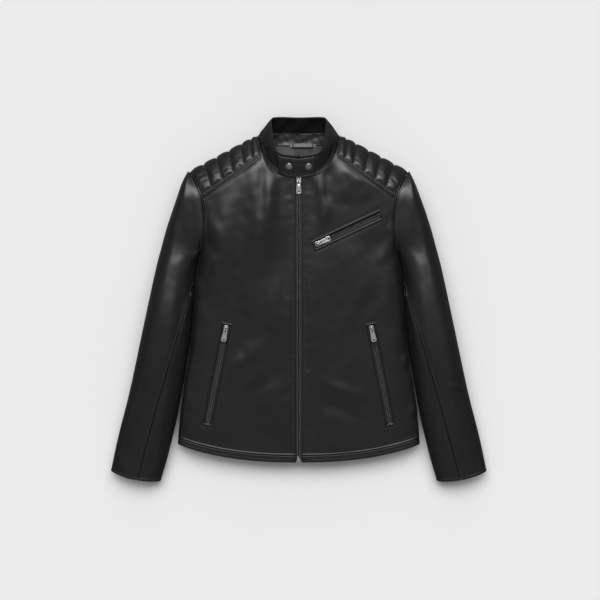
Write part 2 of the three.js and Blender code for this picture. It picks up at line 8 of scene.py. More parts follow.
import logging
import math
from dataclasses import dataclass, field
from enum import Enum
from typing import Callable, Sequence

import bpy
import numpy as np
from mathutils import Matrix, Vector


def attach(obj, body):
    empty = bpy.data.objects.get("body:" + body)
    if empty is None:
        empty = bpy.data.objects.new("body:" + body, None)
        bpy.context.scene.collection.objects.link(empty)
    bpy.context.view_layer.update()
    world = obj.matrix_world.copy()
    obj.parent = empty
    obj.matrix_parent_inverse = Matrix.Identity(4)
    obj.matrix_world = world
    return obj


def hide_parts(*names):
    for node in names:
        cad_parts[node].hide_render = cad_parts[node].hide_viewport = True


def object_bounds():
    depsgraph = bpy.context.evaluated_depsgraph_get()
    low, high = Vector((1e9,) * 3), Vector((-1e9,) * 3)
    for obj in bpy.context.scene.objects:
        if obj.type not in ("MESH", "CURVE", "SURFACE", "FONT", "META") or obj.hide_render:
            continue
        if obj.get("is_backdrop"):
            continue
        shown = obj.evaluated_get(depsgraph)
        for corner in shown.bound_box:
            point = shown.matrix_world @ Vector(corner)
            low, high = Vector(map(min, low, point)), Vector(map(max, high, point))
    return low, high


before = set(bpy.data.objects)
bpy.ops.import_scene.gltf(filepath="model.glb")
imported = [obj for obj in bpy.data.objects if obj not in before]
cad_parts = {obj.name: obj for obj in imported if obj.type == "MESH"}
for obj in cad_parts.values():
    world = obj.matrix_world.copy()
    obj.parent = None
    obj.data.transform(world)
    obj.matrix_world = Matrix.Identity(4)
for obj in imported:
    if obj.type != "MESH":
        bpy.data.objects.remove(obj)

log = logging.getLogger("jacket")
Array = np.ndarray
Surface = Callable[[Array, Array], Array]
Relief = Callable[[Array, Array, Array], Array]
Piece = bpy.types.Object
MM = 0.001
LEFT, RIGHT = 1, -1
SIDES = {"right": RIGHT, "left": LEFT}
SEAM_ROW, HEM_ROW = 4.6, 5.0  # how far in from a seam and from a free edge the stitches run


# ---- curves
def mix(a: Array | float, b: Array | float, t: Array | float) -> Array | float:
    """The value a share t of the way from a to b."""
    return a + (b - a) * t


def smooth(low: float, high: float, x: Array | float) -> Array | float:
    """0 below low, 1 above high and a soft step between."""
    t = np.clip((x - low) / (high - low), 0, 1)
    return t * t * (3 - 2 * t)


def roll(s: Array | float, r: Array | float) -> Array | float:
    """A quarter of an ellipse: 0 at an edge and 1 from r inwards."""
    return np.sqrt(np.clip(1 - np.clip(1 - s / r, 0, 1) ** 2, 0, 1))


def hump(d: Array, width: float) -> Array:
    """A soft ridge of height 1 over a distance d."""
    return np.exp(-((d / width) ** 2))


def unit(v: Array) -> Array:
    """The same directions with length 1."""
    return v / np.maximum(np.linalg.norm(v, axis=-1, keepdims=True), 1e-9)


class Curve:
    """A smooth curve through points, read at any place along it."""

    def __init__(self, at: Sequence[float], values: Sequence) -> None:
        """Args:
        at: the places of the points, rising.
        values: a number or a list of numbers for each point.
        """
        self.at = np.array(at, float)
        self.values = np.array(values, float)
        last = len(at) - 1
        low = np.maximum(np.arange(last + 1) - 1, 0)
        high = np.minimum(np.arange(last + 1) + 1, last)
        run = self.at[high] - self.at[low]
        rise = self.values[high] - self.values[low]
        self.slope = (rise.T / run).T

    def __call__(self, x: Array | float) -> Array:
        """Args:
            x: one place or an array of them.

        Returns:
            The value at each place, held level past the ends.
        """
        x = np.clip(np.asarray(x, float), self.at[0], self.at[-1])
        i = np.clip(np.searchsorted(self.at, x, side="right") - 1, 0, len(self.at) - 2)
        h = self.at[i + 1] - self.at[i]
        t = (x - self.at[i]) / h
        if self.values.ndim > 1:
            h, t = h[..., None], t[..., None]
        a, p, q = self.values[i], self.slope[i] * h, self.slope[i + 1] * h
        rise = self.values[i + 1] - a
        return a + p * t + (3 * rise - 2 * p - q) * t**2 + (p + q - 2 * rise) * t**3


# ---- the jacket's form
@dataclass(frozen=True)
class JacketForm:
    """The shape in which the jacket lies, in millimetres, the same as the solids'."""

    hem_y: float = -346.0
    hem_rise: float = 38.0
    neck_y: float = 257.0
    front_low: float = 38.0
    front_high: float = 84.0
    crown: float = 0.06
    side_round: float = 50.0
    back_round: float = 26.0
    shoulder_round: float = 72.0
    gap: float = 0.8
    snug: float = 1.2
    press: float = 2.2
    hem_band: float = 13.0
    main_window: float = 8.0
    side: Curve = Curve(
        [-346, -308, -214, -65, 60, 110, 154, 200, 235, 262, 275],
        [262, 259, 250, 229, 221, 207, 199, 201, 211, 225, 236],
    )
    edge: Curve = Curve([-346, -200, -65, 60, 200, 262, 346], [17, 25, 30, 30, 22, 14, 15])
    neck_point: tuple = (91.0, 348.0)
    shoulder_tip: tuple = (233.0, 272.0)
    yoke_neck: tuple = (80.0, 303.0)
    yoke_arm_y: float = 213.6
    back_yoke_neck: tuple = (70.0, 349.0)
    back_yoke_arm_y: float = 222.0
    sleeve_inner: Curve = Curve(
        range(10),
        [(227.5, 262), (216.5, 241), (205.7, 213), (200.5, 154), (208.5, 105),
         (223, 45), (232.5, -78), (254.5, -214), (275, -316), (295.5, -388)],
    )
    sleeve_outer: Curve = Curve(
        range(10),
        [(236, 273), (249, 247), (261, 214), (280, 158), (293, 110),
         (306, 58), (331, -58), (360, -192), (386, -293), (402, -366)],
    )
    sleeve_top: Curve = Curve(range(10), [30, 42, 52, 62, 68, 74, 76, 62, 48, 38])
    sleeve_edge: Curve = Curve(range(10), [13, 17, 20, 24, 27, 30, 30, 25, 19, 15])
    forearm_seam: Curve = Curve(range(10), [0, 0, 0, 0, 0, 0, 0.22, 0.38, 0.43, 0.45])
    hind_seam: Curve = Curve(range(10), [0, 0, 0, 0, 0, 0, 0.3, 0.5, 0.55, 0.58])
    cuff_bulge: float = 6.0
    armpit: float = 5.35
    collar_seam: Curve = Curve(
        range(15),
        [(-2, 259, 88), (-39, 268, 86), (-61, 286, 80), (-73, 311, 67), (-80, 334, 48),
         (-83, 349, 21), (-46, 354, 6), (0, 353, 5), (46, 354, 6), (83, 349, 21),
         (80, 334, 48), (73, 311, 67), (61, 286, 80), (39, 268, 86), (2, 259, 88)],
    )
    collar_rim: Curve = Curve(
        range(15),
        [(-2, 298, 107), (-38, 304, 106), (-50, 319, 98), (-55, 342, 80), (-57, 364, 59),
         (-57, 381, 41), (-46, 387, 32), (0, 386, 31), (46, 387, 32), (57, 381, 41),
         (57, 364, 59), (55, 342, 80), (50, 319, 98), (38, 304, 106), (2, 298, 107)],
    )

    def zip_height(self, y: Array) -> Array:
        """Height of the front along the zip."""
        return mix(self.front_low, self.front_high, (y - self.hem_y) / (self.neck_y - self.hem_y))

    def hem(self, x: Array) -> Array:
        """The hem's y at x."""
        return self.hem_y + self.hem_rise * (np.abs(x) / 259) ** 2.4

    def band_top(self, x: Array) -> Array:
        """The hem band's upper edge at x."""
        return self.hem(x) + self.hem_band

    def closing(self, y: Array) -> Array:
        """1 where the body and a sleeve are separate tubes, 0 above the armhole."""
        return 1 - smooth(60, 150, y)

    def beside(self, y: Array) -> Array:
        """1 where the sleeves lie against the body's sides, 0 above and below."""
        return smooth(-330, -235, y) * (1 - smooth(80, 140, y))

    def from_shoulder(self, x: Array, y: Array) -> Array:
        """Distance inwards from the shoulder fold."""
        dx = self.shoulder_tip[0] - self.neck_point[0]
        dy = self.shoulder_tip[1] - self.neck_point[1]
        cross = (x - self.neck_point[0]) * dy - (y - self.neck_point[1]) * dx
        return cross / math.hypot(dx, dy)

    def front_z(self, x: Array, y: Array, free: bool = False) -> Array:
        """Height of the front over (x, y), x from the centre; free leaves out the roll to the side."""
        side, edge = self.side(y), self.edge(y)
        crown = 1 - self.crown * np.minimum(1, x / side) ** 2
        rolled = 1.0 if free else mix(1.0, roll(np.maximum(0, side - x), self.side_round), self.closing(y))
        shoulder = roll(np.maximum(0, self.from_shoulder(x, y)), self.shoulder_round)
        return edge + (self.zip_height(y) * crown - edge) * rolled * shoulder

    def back_z(self, x: Array, y: Array) -> Array:
        """Height of the back over (x, y)."""
        side = mix(1.0, roll(np.maximum(0, self.side(y) - x), self.back_round), self.closing(y))
        top = roll(np.maximum(0, self.from_shoulder(x, y)), self.back_round)
        return self.edge(y) * (1 - np.minimum(side, top))

    def front_top(self, x: Array) -> Array:
        """The front panel's upper edge: the collar seam by the zip, then the yoke seam."""
        x = np.asarray(x, float)
        arm = float(self.side(self.yoke_arm_y))
        yoke = mix(self.yoke_neck[1], self.yoke_arm_y, (x - self.yoke_neck[0]) / (arm - self.yoke_neck[0]))
        line = Curve([2, 39, 61, 73, 80], [259, 268, 286, 311, 334])
        neck = line(x * 0.97) - 3 - 4 * smooth(40, self.yoke_neck[0], x)
        limit = yoke - self.gap + 400 * np.maximum(0, 1 - x / self.yoke_neck[0])
        return np.where(x >= self.yoke_neck[0], yoke - self.gap, np.minimum(neck, limit))

    def back_top(self, x: Array) -> Array:
        """The back panel's upper edge."""
        arm = float(self.side(self.back_yoke_arm_y))
        share = (x - self.back_yoke_neck[0]) / (arm - self.back_yoke_neck[0])
        return mix(self.back_yoke_neck[1], self.back_yoke_arm_y, np.maximum(0, share)) - 1

    def side_end(self, edge: Callable[[float], float]) -> float:
        """The y at which an edge that runs across the body meets the side."""
        y = float(edge(258.0))
        for _ in range(5):
            y = float(edge(float(self.side(y))))
        return y

    def front(self, side: int, start: float, low: Callable, high: Callable, inset: float = 0) -> Surface:
        """A part of a front panel.

        Args:
            side: LEFT or RIGHT.
            start: x of its edge by the zip.
            low: its lower edge's y at x.
            high: its upper edge's y at x.
            inset: how far short of the side it stops.

        Returns:
            The surface over shares of its width and height.
        """
        ends = self.side_end(low), self.side_end(high)

        def surface(u: Array, v: Array) -> Array:
            level = mix(*ends, v)
            short = self.gap + inset - self.snug * self.beside(level) * (inset == 0)
            x = mix(start, self.side(level) - short, u)
            y = mix(low(x), high(x), v)
            z = self.front_z(x + short * u, y) + 0.4
            return np.stack([side * x, y, z], -1)

        return surface

    def back(self, low: Callable, high: Callable, inset: float = 0) -> Surface:
        """A part of the back panel, full width, over shares of its width and height."""
        ends = self.side_end(low), self.side_end(high)

        def surface(u: Array, v: Array) -> Array:
            level = mix(*ends, v)
            short = self.gap + inset - self.snug * self.beside(level) * (inset == 0)
            x = (2 * u - 1) * (self.side(level) - short)
            y = mix(low(np.abs(x)), high(np.abs(x)), v)
            z = np.maximum(0, self.back_z(np.abs(x) + short - inset, y) - 0.4)
            return np.stack([x, y, z], -1)

        return surface

    def yoke(self, side: int) -> Surface:
        """A shoulder yoke: u from the collar to the armhole, v from the front seam over the fold to the back."""

        def surface(u: Array, v: Array) -> Array:
            front = v <= 0.5
            t = np.where(front, np.sin(v * np.pi), 1 - np.cos((v * 2 - 1) * np.pi / 2))
            start = np.where(front[..., None], (self.yoke_neck[0] + 2, self.yoke_neck[1]), self.neck_point)
            stop = np.where(front[..., None], self.neck_point, self.back_yoke_neck)
            neck = mix(start, stop, t[..., None])
            fold = self.shoulder_tip[1]
            arm_y = np.where(front, mix(self.yoke_arm_y + self.gap, fold, t), mix(fold, self.back_yoke_arm_y, t))
            x = mix(neck[..., 0] - 4.0, self.side(arm_y) - self.gap, u)
            y = mix(neck[..., 1], arm_y, u) + self.gap * np.where(front, 1 - 2 * v, 0)
            z = np.where(front, self.front_z(x, y, True), self.back_z(x, y))
            return np.stack([side * x, y, z], -1)

        return surface

    def sleeve(self, s: Array, turn: Array) -> Array:
        """The sleeve's points at stations s and turns round the section, on the left side."""
        inner, outer = self.sleeve_inner(s), self.sleeve_outer(s)
        width = np.hypot(outer[..., 0] - inner[..., 0], outer[..., 1] - inner[..., 1])
        turn = turn - np.floor(turn)
        across = (1 - np.cos(turn * 2 * np.pi)) / 2
        flat = mix(inner, outer, across[..., None])
        flat[..., 0] -= self.press * (1 - across) * self.beside(inner[..., 1])
        free = self.closing(inner[..., 1])
        edge = self.sleeve_edge(s)
        top = mix(self.front_z(inner[..., 0], inner[..., 1], True), self.sleeve_top(s), free)
        upper = turn <= 0.5
        reach = np.where(upper, width / 2, np.minimum(width / 2, self.back_round))
        outward = np.where(upper, 0.41 * width, reach)
        rolled = roll((1 - across) * width, outward) * mix(1, roll(across * width, reach), free)
        bow = self.cuff_bulge * 4 * across * (1 - across) * smooth(7, 9, s)
        z = np.where(upper, edge + (top - edge) * rolled, edge * (1 - rolled))
        return np.stack([flat[..., 0], flat[..., 1] - bow, z], -1)

    def sleeve_part(self, side: int, first: Callable, last: Callable, start: float) -> Surface:
        """A sleeve panel: u from the first turn to the last, v from a station to the cuff."""

        def surface(u: Array, v: Array) -> Array:
            s = mix(start, 9.0, v)
            return self.sleeve(s, mix(first(s), last(s), u)) * (side, 1, 1)

        return surface

    def fore_turn(self, s: Array) -> Array:
        """The forearm seam's turn at a station."""
        return np.arccos(1 - 2 * np.clip(self.forearm_seam(s), 0, 1)) / (2 * np.pi)

    def hind_turn(self, s: Array) -> Array:
        """The hind seam's turn at a station."""
        return 1 - np.arccos(1 - 2 * np.clip(self.hind_seam(s), 0, 1)) / (2 * np.pi)

    def collar(self, index: Array, up: Array) -> Array:
        """The collar's middle surface from the right front end round the back to the left one."""
        p = mix(self.collar_seam(index), self.collar_rim(index), up[..., None])
        away = np.stack([p[..., 0], p[..., 1] - 325, np.zeros_like(up)], -1)
        return p + unit(away) * (2.2 * 4 * up * (1 - up))[..., None]

    def collar_front(self, x: Array, up: Array) -> Array:
        """The front of the collar by x, carried straight across the gap between its two ends."""
        at = lambda k: self.collar(np.where(x < 0, k, 14 - k), up)
        near, far = np.zeros_like(x), np.full_like(x, 3.0)
        for _ in range(30):
            middle = (near + far) / 2
            short = np.abs(at(middle)[..., 0]) < np.abs(x)
            near, far = np.where(short, middle, near), np.where(short, far, middle)
        right, left = (self.collar(np.full_like(x, k), up) for k in (0.0, 14.0))
        reach = np.abs(right[..., 0])
        across = mix(right, left, ((x + reach) / (2 * reach))[..., None])
        return np.where((np.abs(x) < reach)[..., None], across, at(near))


FORM = JacketForm()


# ---- shader graphs
class Wire:
    """A socket of a shader graph that takes part in plain arithmetic."""

    def __init__(self, graph: "Graph", socket: bpy.types.NodeSocket) -> None:
        """Keeps the graph that the socket belongs to."""
        self.graph, self.socket = graph, socket

    def _math(self, operation: str, a: "Wire | float", b: "Wire | float") -> "Wire":
        """A Math node on a and b."""
        return self.graph.node("ShaderNodeMath", {"operation": operation}, {0: a, 1: b})[0]

    def __add__(self, other: "Wire | float") -> "Wire":
        """self + other."""
        return self._math("ADD", self, other)

    __radd__ = __add__

    def __sub__(self, other: "Wire | float") -> "Wire":
        """self - other."""
        return self._math("SUBTRACT", self, other)

    def __rsub__(self, other: float) -> "Wire":
        """other - self."""
        return self._math("SUBTRACT", other, self)

    def __mul__(self, other: "Wire | float") -> "Wire":
        """self * other."""
        return self._math("MULTIPLY", self, other)

    __rmul__ = __mul__

    def __pow__(self, other: float) -> "Wire":
        """self ** other."""
        return self._math("POWER", self, other)


class Graph:
    """A material's shader graph."""

    def __init__(self, name: str) -> None:
        """Starts a material with only its surface shader."""
        self.material = bpy.data.materials.new(name)
        self.material.use_nodes = True
        self.tree = self.material.node_tree
        self.shader = self.tree.nodes["Principled BSDF"]

    def node(self, kind: str, settings: dict | None = None, links: dict | None = None) -> list[Wire]:
        """Adds a node.

        Args:
            kind: the node's type.
            settings: its properties; stops are a ramp's (place, grey) pairs.
            links: values or wires for its inputs, by name or number.

        Returns:
            Its outputs.
        """
        made = self.tree.nodes.new(kind)
        for key, value in (settings or {}).items():
            if key == "stops":
                for _ in value[2:]:
                    made.color_ramp.elements.new(0.5)
                for stop, (place, grey) in zip(made.color_ramp.elements, value):
                    stop.position, stop.color = place, (grey, grey, grey, 1)
            else:
                setattr(made, key, value)
        for key, value in (links or {}).items():
            self.feed(made.inputs[key], value)
        return [Wire(self, s) for s in made.outputs]

    def feed(self, socket: bpy.types.NodeSocket, value: Wire | float | Sequence) -> None:
        """Links a wire to a socket, or sets its value."""
        if isinstance(value, Wire):
            self.tree.links.new(value.socket, socket)
        else:
            socket.default_value = value

    def place(self, stretch: tuple = (1, 1, 1)) -> Wire:
        """Object coordinates, stretched."""
        where = self.node("ShaderNodeTexCoord")[3]
        return self.node("ShaderNodeMapping", None, {0: where, 3: stretch})[0]

    def noise(self, at: Wire, scale: float, detail: float = 3.0, rough: float = 0.55) -> Wire:
        """Smooth noise from 0 to 1."""
        links = {"Vector": at, "Scale": scale, "Detail": detail, "Roughness": rough}
        return self.node("ShaderNodeTexNoise", None, links)[0]

    def cells(self, at: Wire, scale: float, feature: str = "F1") -> Wire:
        """Distance in a pattern of cells."""
        settings = {"feature": feature}
        return self.node("ShaderNodeTexVoronoi", settings, {"Vector": at, "Scale": scale})[0]

    def wave(self, at: Wire, scale: float, distortion: float = 0.0, direction: str = "DIAGONAL") -> Wire:
        """Bands across a direction, from 0 to 1."""
        settings = {"wave_type": "BANDS", "bands_direction": direction}
        links = {"Vector": at, "Scale": scale, "Distortion": distortion}
        return self.node("ShaderNodeTexWave", settings, links)[1]

    def stepped(self, value: Wire, stops: Sequence) -> Wire:
        """A value through a ramp of greys."""
        return self.node("ShaderNodeValToRGB", {"stops": stops}, {0: value})[0]

    def tint(self, share: Wire, dark: Sequence, light: Sequence) -> Wire:
        """A colour between two by a share."""
        links = {0: share, 6: (*dark, 1), 7: (*light, 1)}
        return self.node("ShaderNodeMix", {"data_type": "RGBA"}, links)[2]

    def bump(self, height: Wire, depth: float, strength: float) -> Wire:
        """Normals from a height; depth is in metres."""
        links = {"Height": height, "Distance": depth, "Strength": strength}
        return self.node("ShaderNodeBump", None, links)[0]

    def dress(self, **values: Wire | float | Sequence) -> bpy.types.Material:
        """Feeds the surface shader by its inputs' names, with _ for spaces.

        Returns:
            The material.
        """
        for key, value in values.items():
            self.feed(self.shader.inputs[key.replace("_", " ")], value)
        return self.material


class Finish(Enum):
    """The finishes that the pieces are dressed in."""

    LEATHER = "leather"
    QUILTED = "quilted_leather"
    LINING = "lining"
    WADDING = "wadding"
    TAPE = "zip_tape"
    TEETH = "zip_teeth"
    NICKEL = "zip_slider"
    POLISHED = "bright_metal"
    SNAP = "snap_metal"
    LABEL = "label_cloth"
    THREAD = "thread"
    RIBBON = "ribbon"


@dataclass(frozen=True)
class LeatherFinish:
    """Finished black cowhide."""

    dark: tuple = (0.0038, 0.0037, 0.0037)
    light: tuple = (0.0075, 0.0073, 0.0072)
    matt: float = 0.42
    gloss: float = 0.31
    grain: float = 0.00016

    def make(self, name: str) -> bpy.types.Material:
        """Builds the material: pebble grain, fine pores, and a tone and sheen that drift."""
        g = Graph(name)
        at = g.place()
        drift = g.noise(at, 9, 4)
        patch = g.noise(g.place((1, 0.35, 1)), 26, 3)
        cells = g.cells(at, 820, "SMOOTH_F1")
        pores = g.noise(at, 2600, 2)
        crease = g.cells(g.place((1, 0.6, 1)), 260, "DISTANCE_TO_EDGE")
        creases = g.stepped(crease, [(0.0, 0.0), (0.12, 1.0)])
        height = 0.55 * cells + 0.25 * pores + 0.2 * creases
        shade = 0.5 * drift + 0.3 * patch + 0.2 * cells
        rough = self.gloss + (self.matt - self.gloss) * shade
        return g.dress(
            Base_Color=g.tint(shade, self.dark, self.light),
            Roughness=rough,
            IOR=1.47,
            Specular_IOR_Level=0.34,
            Normal=g.bump(height, self.grain, 0.55),
        )


@dataclass(frozen=True)
class ClothFinish:
    """A woven cloth."""

    dark: tuple = (0.006, 0.006, 0.0065)
    light: tuple = (0.016, 0.016, 0.017)
    rough: float = 0.5
    threads: float = 2200.0
    depth: float = 0.0001
    sheen: float = 0.25

    def make(self, name: str) -> bpy.types.Material:
        """Builds the material from two crossed sets of threads."""
        g = Graph(name)
        at = g.place()
        twill = g.wave(at, self.threads / 6.28, 0.6)
        weft = g.wave(at, self.threads / 5.1, 0.3, "Y")
        slub = g.noise(g.place((1, 0.1, 1)), 900, 2)
        cloud = g.noise(at, 30, 3)
        height = 0.55 * twill + 0.3 * weft + 0.15 * slub
        shade = 0.5 * cloud + 0.3 * twill + 0.2 * slub
        return g.dress(
            Base_Color=g.tint(shade, self.dark, self.light),
            Roughness=self.rough + 0.16 * (1 - shade),
            Specular_IOR_Level=0.4,
            Sheen_Weight=self.sheen,
            Sheen_Roughness=0.45,
            Normal=g.bump(height, self.depth, 0.6),
        )


@dataclass(frozen=True)
class MetalFinish:
    """A plated metal with fine scratches."""

    dark: tuple = (0.5, 0.5, 0.51)
    light: tuple = (0.62, 0.62, 0.63)
    rough: float = 0.24
    worn: float = 0.2

    def make(self, name: str) -> bpy.types.Material:
        """Builds the material: scratches along the piece, smudges and a dulled tone in them."""
        g = Graph(name)
        scratches = g.noise(g.place((9, 1, 9)), 900, 4, 0.7)
        smudge = g.noise(g.place(), 180, 3)
        shade = 0.45 * scratches + 0.55 * smudge
        return g.dress(
            Base_Color=g.tint(shade, self.dark, self.light),
            Metallic=1.0,
            Roughness=self.rough + self.worn * shade**2.0,
            Normal=g.bump(scratches, 0.00002, 0.25),
        )


@dataclass(frozen=True)
class ThreadFinish:
    """Twisted sewing thread."""

    colour: tuple = (0.012, 0.012, 0.012)

    def make(self, name: str) -> bpy.types.Material:
        """Builds the material from a diagonal twist."""
        g = Graph(name)
        twist = g.wave(g.place(), 900.0)
        light = tuple(2.2 * c for c in self.colour)
        return g.dress(
            Base_Color=g.tint(twist, self.colour, light),
            Roughness=0.5 + 0.2 * twist,
            Normal=g.bump(twist, 0.00008, 0.6),
        )


FINISHES = {
    Finish.LEATHER: LeatherFinish(),
    Finish.QUILTED: LeatherFinish(),
    Finish.LINING: ClothFinish(),
    Finish.WADDING: ClothFinish(
        dark=(0.3, 0.3, 0.28), light=(0.5, 0.5, 0.47), rough=0.85, threads=700, depth=0.0004, sheen=0.5
    ),
    Finish.TAPE: ClothFinish(
        dark=(0.004, 0.004, 0.004), light=(0.011, 0.011, 0.011), rough=0.75, threads=3000, sheen=0.1
    ),
    Finish.TEETH: MetalFinish(dark=(0.1, 0.1, 0.105), light=(0.2, 0.2, 0.21), rough=0.32),
    Finish.NICKEL: MetalFinish(dark=(0.2, 0.2, 0.205), light=(0.34, 0.34, 0.345)),
    Finish.POLISHED: MetalFinish(dark=(0.52, 0.52, 0.53), light=(0.68, 0.68, 0.69), rough=0.18, worn=0.12),
    Finish.SNAP: MetalFinish(dark=(0.14, 0.138, 0.135), light=(0.24, 0.235, 0.23), rough=0.26),
    Finish.LABEL: ClothFinish(
        dark=(0.012, 0.012, 0.012), light=(0.03, 0.03, 0.03), rough=0.7, threads=1800, sheen=0.1
    ),
    Finish.THREAD: ThreadFinish(),
    Finish.RIBBON: ClothFinish(
        dark=(0.05, 0.049, 0.047), light=(0.11, 0.108, 0.104), rough=0.4, threads=1500, sheen=0.3
    ),
}


class Wardrobe:
    """Makes each finish's material once."""

    def __init__(self) -> None:
        """Starts with no material made."""
        self.made: dict[Finish, bpy.types.Material] = {}

    def __getitem__(self, finish: Finish) -> bpy.types.Material:
        """The finish's material."""
        if finish not in self.made:
            self.made[finish] = FINISHES[finish].make(f"{finish.value}_finish")
        return self.made[finish]


WARDROBE = Wardrobe()


# ---- making pieces
def deselect() -> None:
    """Leaves nothing selected."""
    for o in bpy.context.selected_objects:
        o.select_set(False)


def pick(piece: Piece) -> None:
    """Makes a piece the only one selected, and active."""
    deselect()
    piece.select_set(True)
    bpy.context.view_layer.objects.active = piece


def apply_all(piece: Piece) -> None:
    """Applies a piece's modifiers in order."""
    pick(piece)
    for modifier in list(piece.modifiers):
        bpy.ops.object.modifier_apply(modifier=modifier.name)


def settle(piece: Piece) -> None:
    """Moves a piece's place into its mesh, so that its object is at the origin."""
    pick(piece)
    bpy.ops.object.transform_apply(location=True, rotation=True, scale=True)


def soften(piece: Piece, angle: float = 50) -> None:
    """Shades a piece smooth except over sharp edges."""
    pick(piece)
    bpy.ops.object.shade_smooth_by_angle(angle=math.radians(angle))


def face_outwards(piece: Piece) -> None:
    """Turns all a closed piece's faces outwards."""
    pick(piece)
    bpy.ops.object.mode_set(mode="EDIT")
    bpy.ops.mesh.select_all(action="SELECT")
    bpy.ops.mesh.normals_make_consistent(inside=False)
    bpy.ops.object.mode_set(mode="OBJECT")


def hand_over(piece: Piece, body: str, finish: Finish, slot: str | None, *nodes: str) -> Piece:
    """Dresses a finished piece and gives it to its body.

    Args:
        piece: the finished piece.
        body: the body that it moves with.
        finish: what it is dressed in.
        slot: the record's slot of its finish, or None for the finish's own; not used.
        nodes: the solids that it stands for.

    Returns:
        The piece.
    """
    piece.data.materials.clear()
    piece.data.materials.append(WARDROBE[finish])
    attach(piece, body)
    if nodes:
        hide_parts(*nodes)
    log.info("%s: %d faces on %s", piece.name, len(piece.data.polygons), body)
    return piece


def mesh_piece(name: str, points: Array, faces: Sequence) -> Piece:
    """A piece from points in millimetres and its faces."""
    mesh = bpy.data.meshes.new(name)
    mesh.from_pydata((points * MM).tolist(), [], faces)
    piece = bpy.data.objects.new(name, mesh)
    bpy.context.scene.collection.objects.link(piece)
    return piece


def normals_of(points: Array) -> Array:
    """Unit normals of a grid of points, along its first axis crossed with its second, read as columns by rows."""
    du = np.gradient(points, axis=1)
    dv = np.gradient(points, axis=0)
    return unit(np.cross(du, dv))


class Edge(Enum):
    """How a panel's edge is finished."""

    SEAM = "seam"  # turned under along a topstitched seam
    PIPED = "piped"  # a seam with a raised cord beside it
    TURNED = "turned"  # a free edge turned under
    ROUND = "round"  # the rounded edge of a closed pad
    PLAIN = "plain"


ROUND_PLACES = [0.0, 0.06, 0.22, 0.5, 0.9, 1.4, 2.0, 2.8]
SEAM_PLACES = [0.0, 0.25, 0.55, 0.9, 1.3, 1.75, 2.2, 2.6, 3.0, 3.4, 3.9, 4.5, 5.2, 6.1, 7.3]


def ladder(length: float, first: Edge, last: Edge, step: float) -> Array:
    """Shares of a length, close together at its edges.

    Args:
        length: the length in millimetres.
        first: how it starts.
        last: how it ends.
        step: the spacing in the middle.

    Returns:
        Rising shares from 0 to 1.
    """
    places = {Edge.PLAIN: [0.0], Edge.ROUND: ROUND_PLACES}
    a, b = (places.get(kind, SEAM_PLACES) for kind in (first, last))
    count = max(2, round((length - a[-1] - b[-1]) / step))
    middle = np.linspace(a[-1], length - b[-1], count + 1)[1:-1]
    return np.concatenate([a, middle, length - np.array(b[::-1])]) / length


@dataclass(frozen=True)
class Fold:
    """A ridge or hollow in the leather between two points of the plan.

    Attributes:
        start: (x, y) of one end.
        stop: (x, y) of the other end.
        width: half-width in millimetres.
        height: height in millimetres, negative for a hollow.
        bend: how far its middle bows sideways.
    """

    start: tuple
    stop: tuple
    width: float
    height: float
    bend: float = 0.0

    def over(self, x: Array, y: Array) -> Array:
        """Its height over points of the plan."""
        d = np.subtract(self.stop, self.start)
        long = math.hypot(*d)
        d = d / long
        t = ((x - self.start[0]) * d[0] + (y - self.start[1]) * d[1]) / long
        bow = self.bend * 4 * t * (1 - t)
        across = (x - self.start[0]) * -d[1] + (y - self.start[1]) * d[0] - bow
        taper = smooth(-0.12, 0.3, t) * (1 - smooth(0.7, 1.12, t))
        return self.height * taper * hump(across, self.width)


def ripple(x: Array, y: Array, low: float, high: float, seed: int, count: int = 18) -> Array:
    """Gentle waves in all directions, of about unit height.

    Args:
        x: places along x.
        y: places along y.
        low: the shortest wavelength.
        high: the longest.
        seed: which set of waves.
        count: how many waves.

    Returns:
        The height at each place.
    """
    r = np.random.default_rng(seed)
    total = np.zeros_like(x)
    for _ in range(count):
        k = 2 * np.pi / r.uniform(low, high)
        a = r.uniform(-np.pi / 2, np.pi / 2)
        total += np.sin(k * (x * math.cos(a) + y * math.sin(a)) + r.uniform(0, 6.28))
    return total / math.sqrt(count / 2)


def inwards_from(grid: Array, edge: int) -> Array:
    """A panel's grid with its rows counted inwards from an edge, 0 to 3."""
    grid = grid.swapaxes(0, 1) if edge < 2 else grid
    return grid[::-1] if edge in (1, 3) else grid


def back_from(grid: Array, edge: int) -> Array:
    """The grid as it was before inwards_from."""
    grid = grid[::-1] if edge in (1, 3) else grid
    return grid.swapaxes(0, 1) if edge < 2 else grid


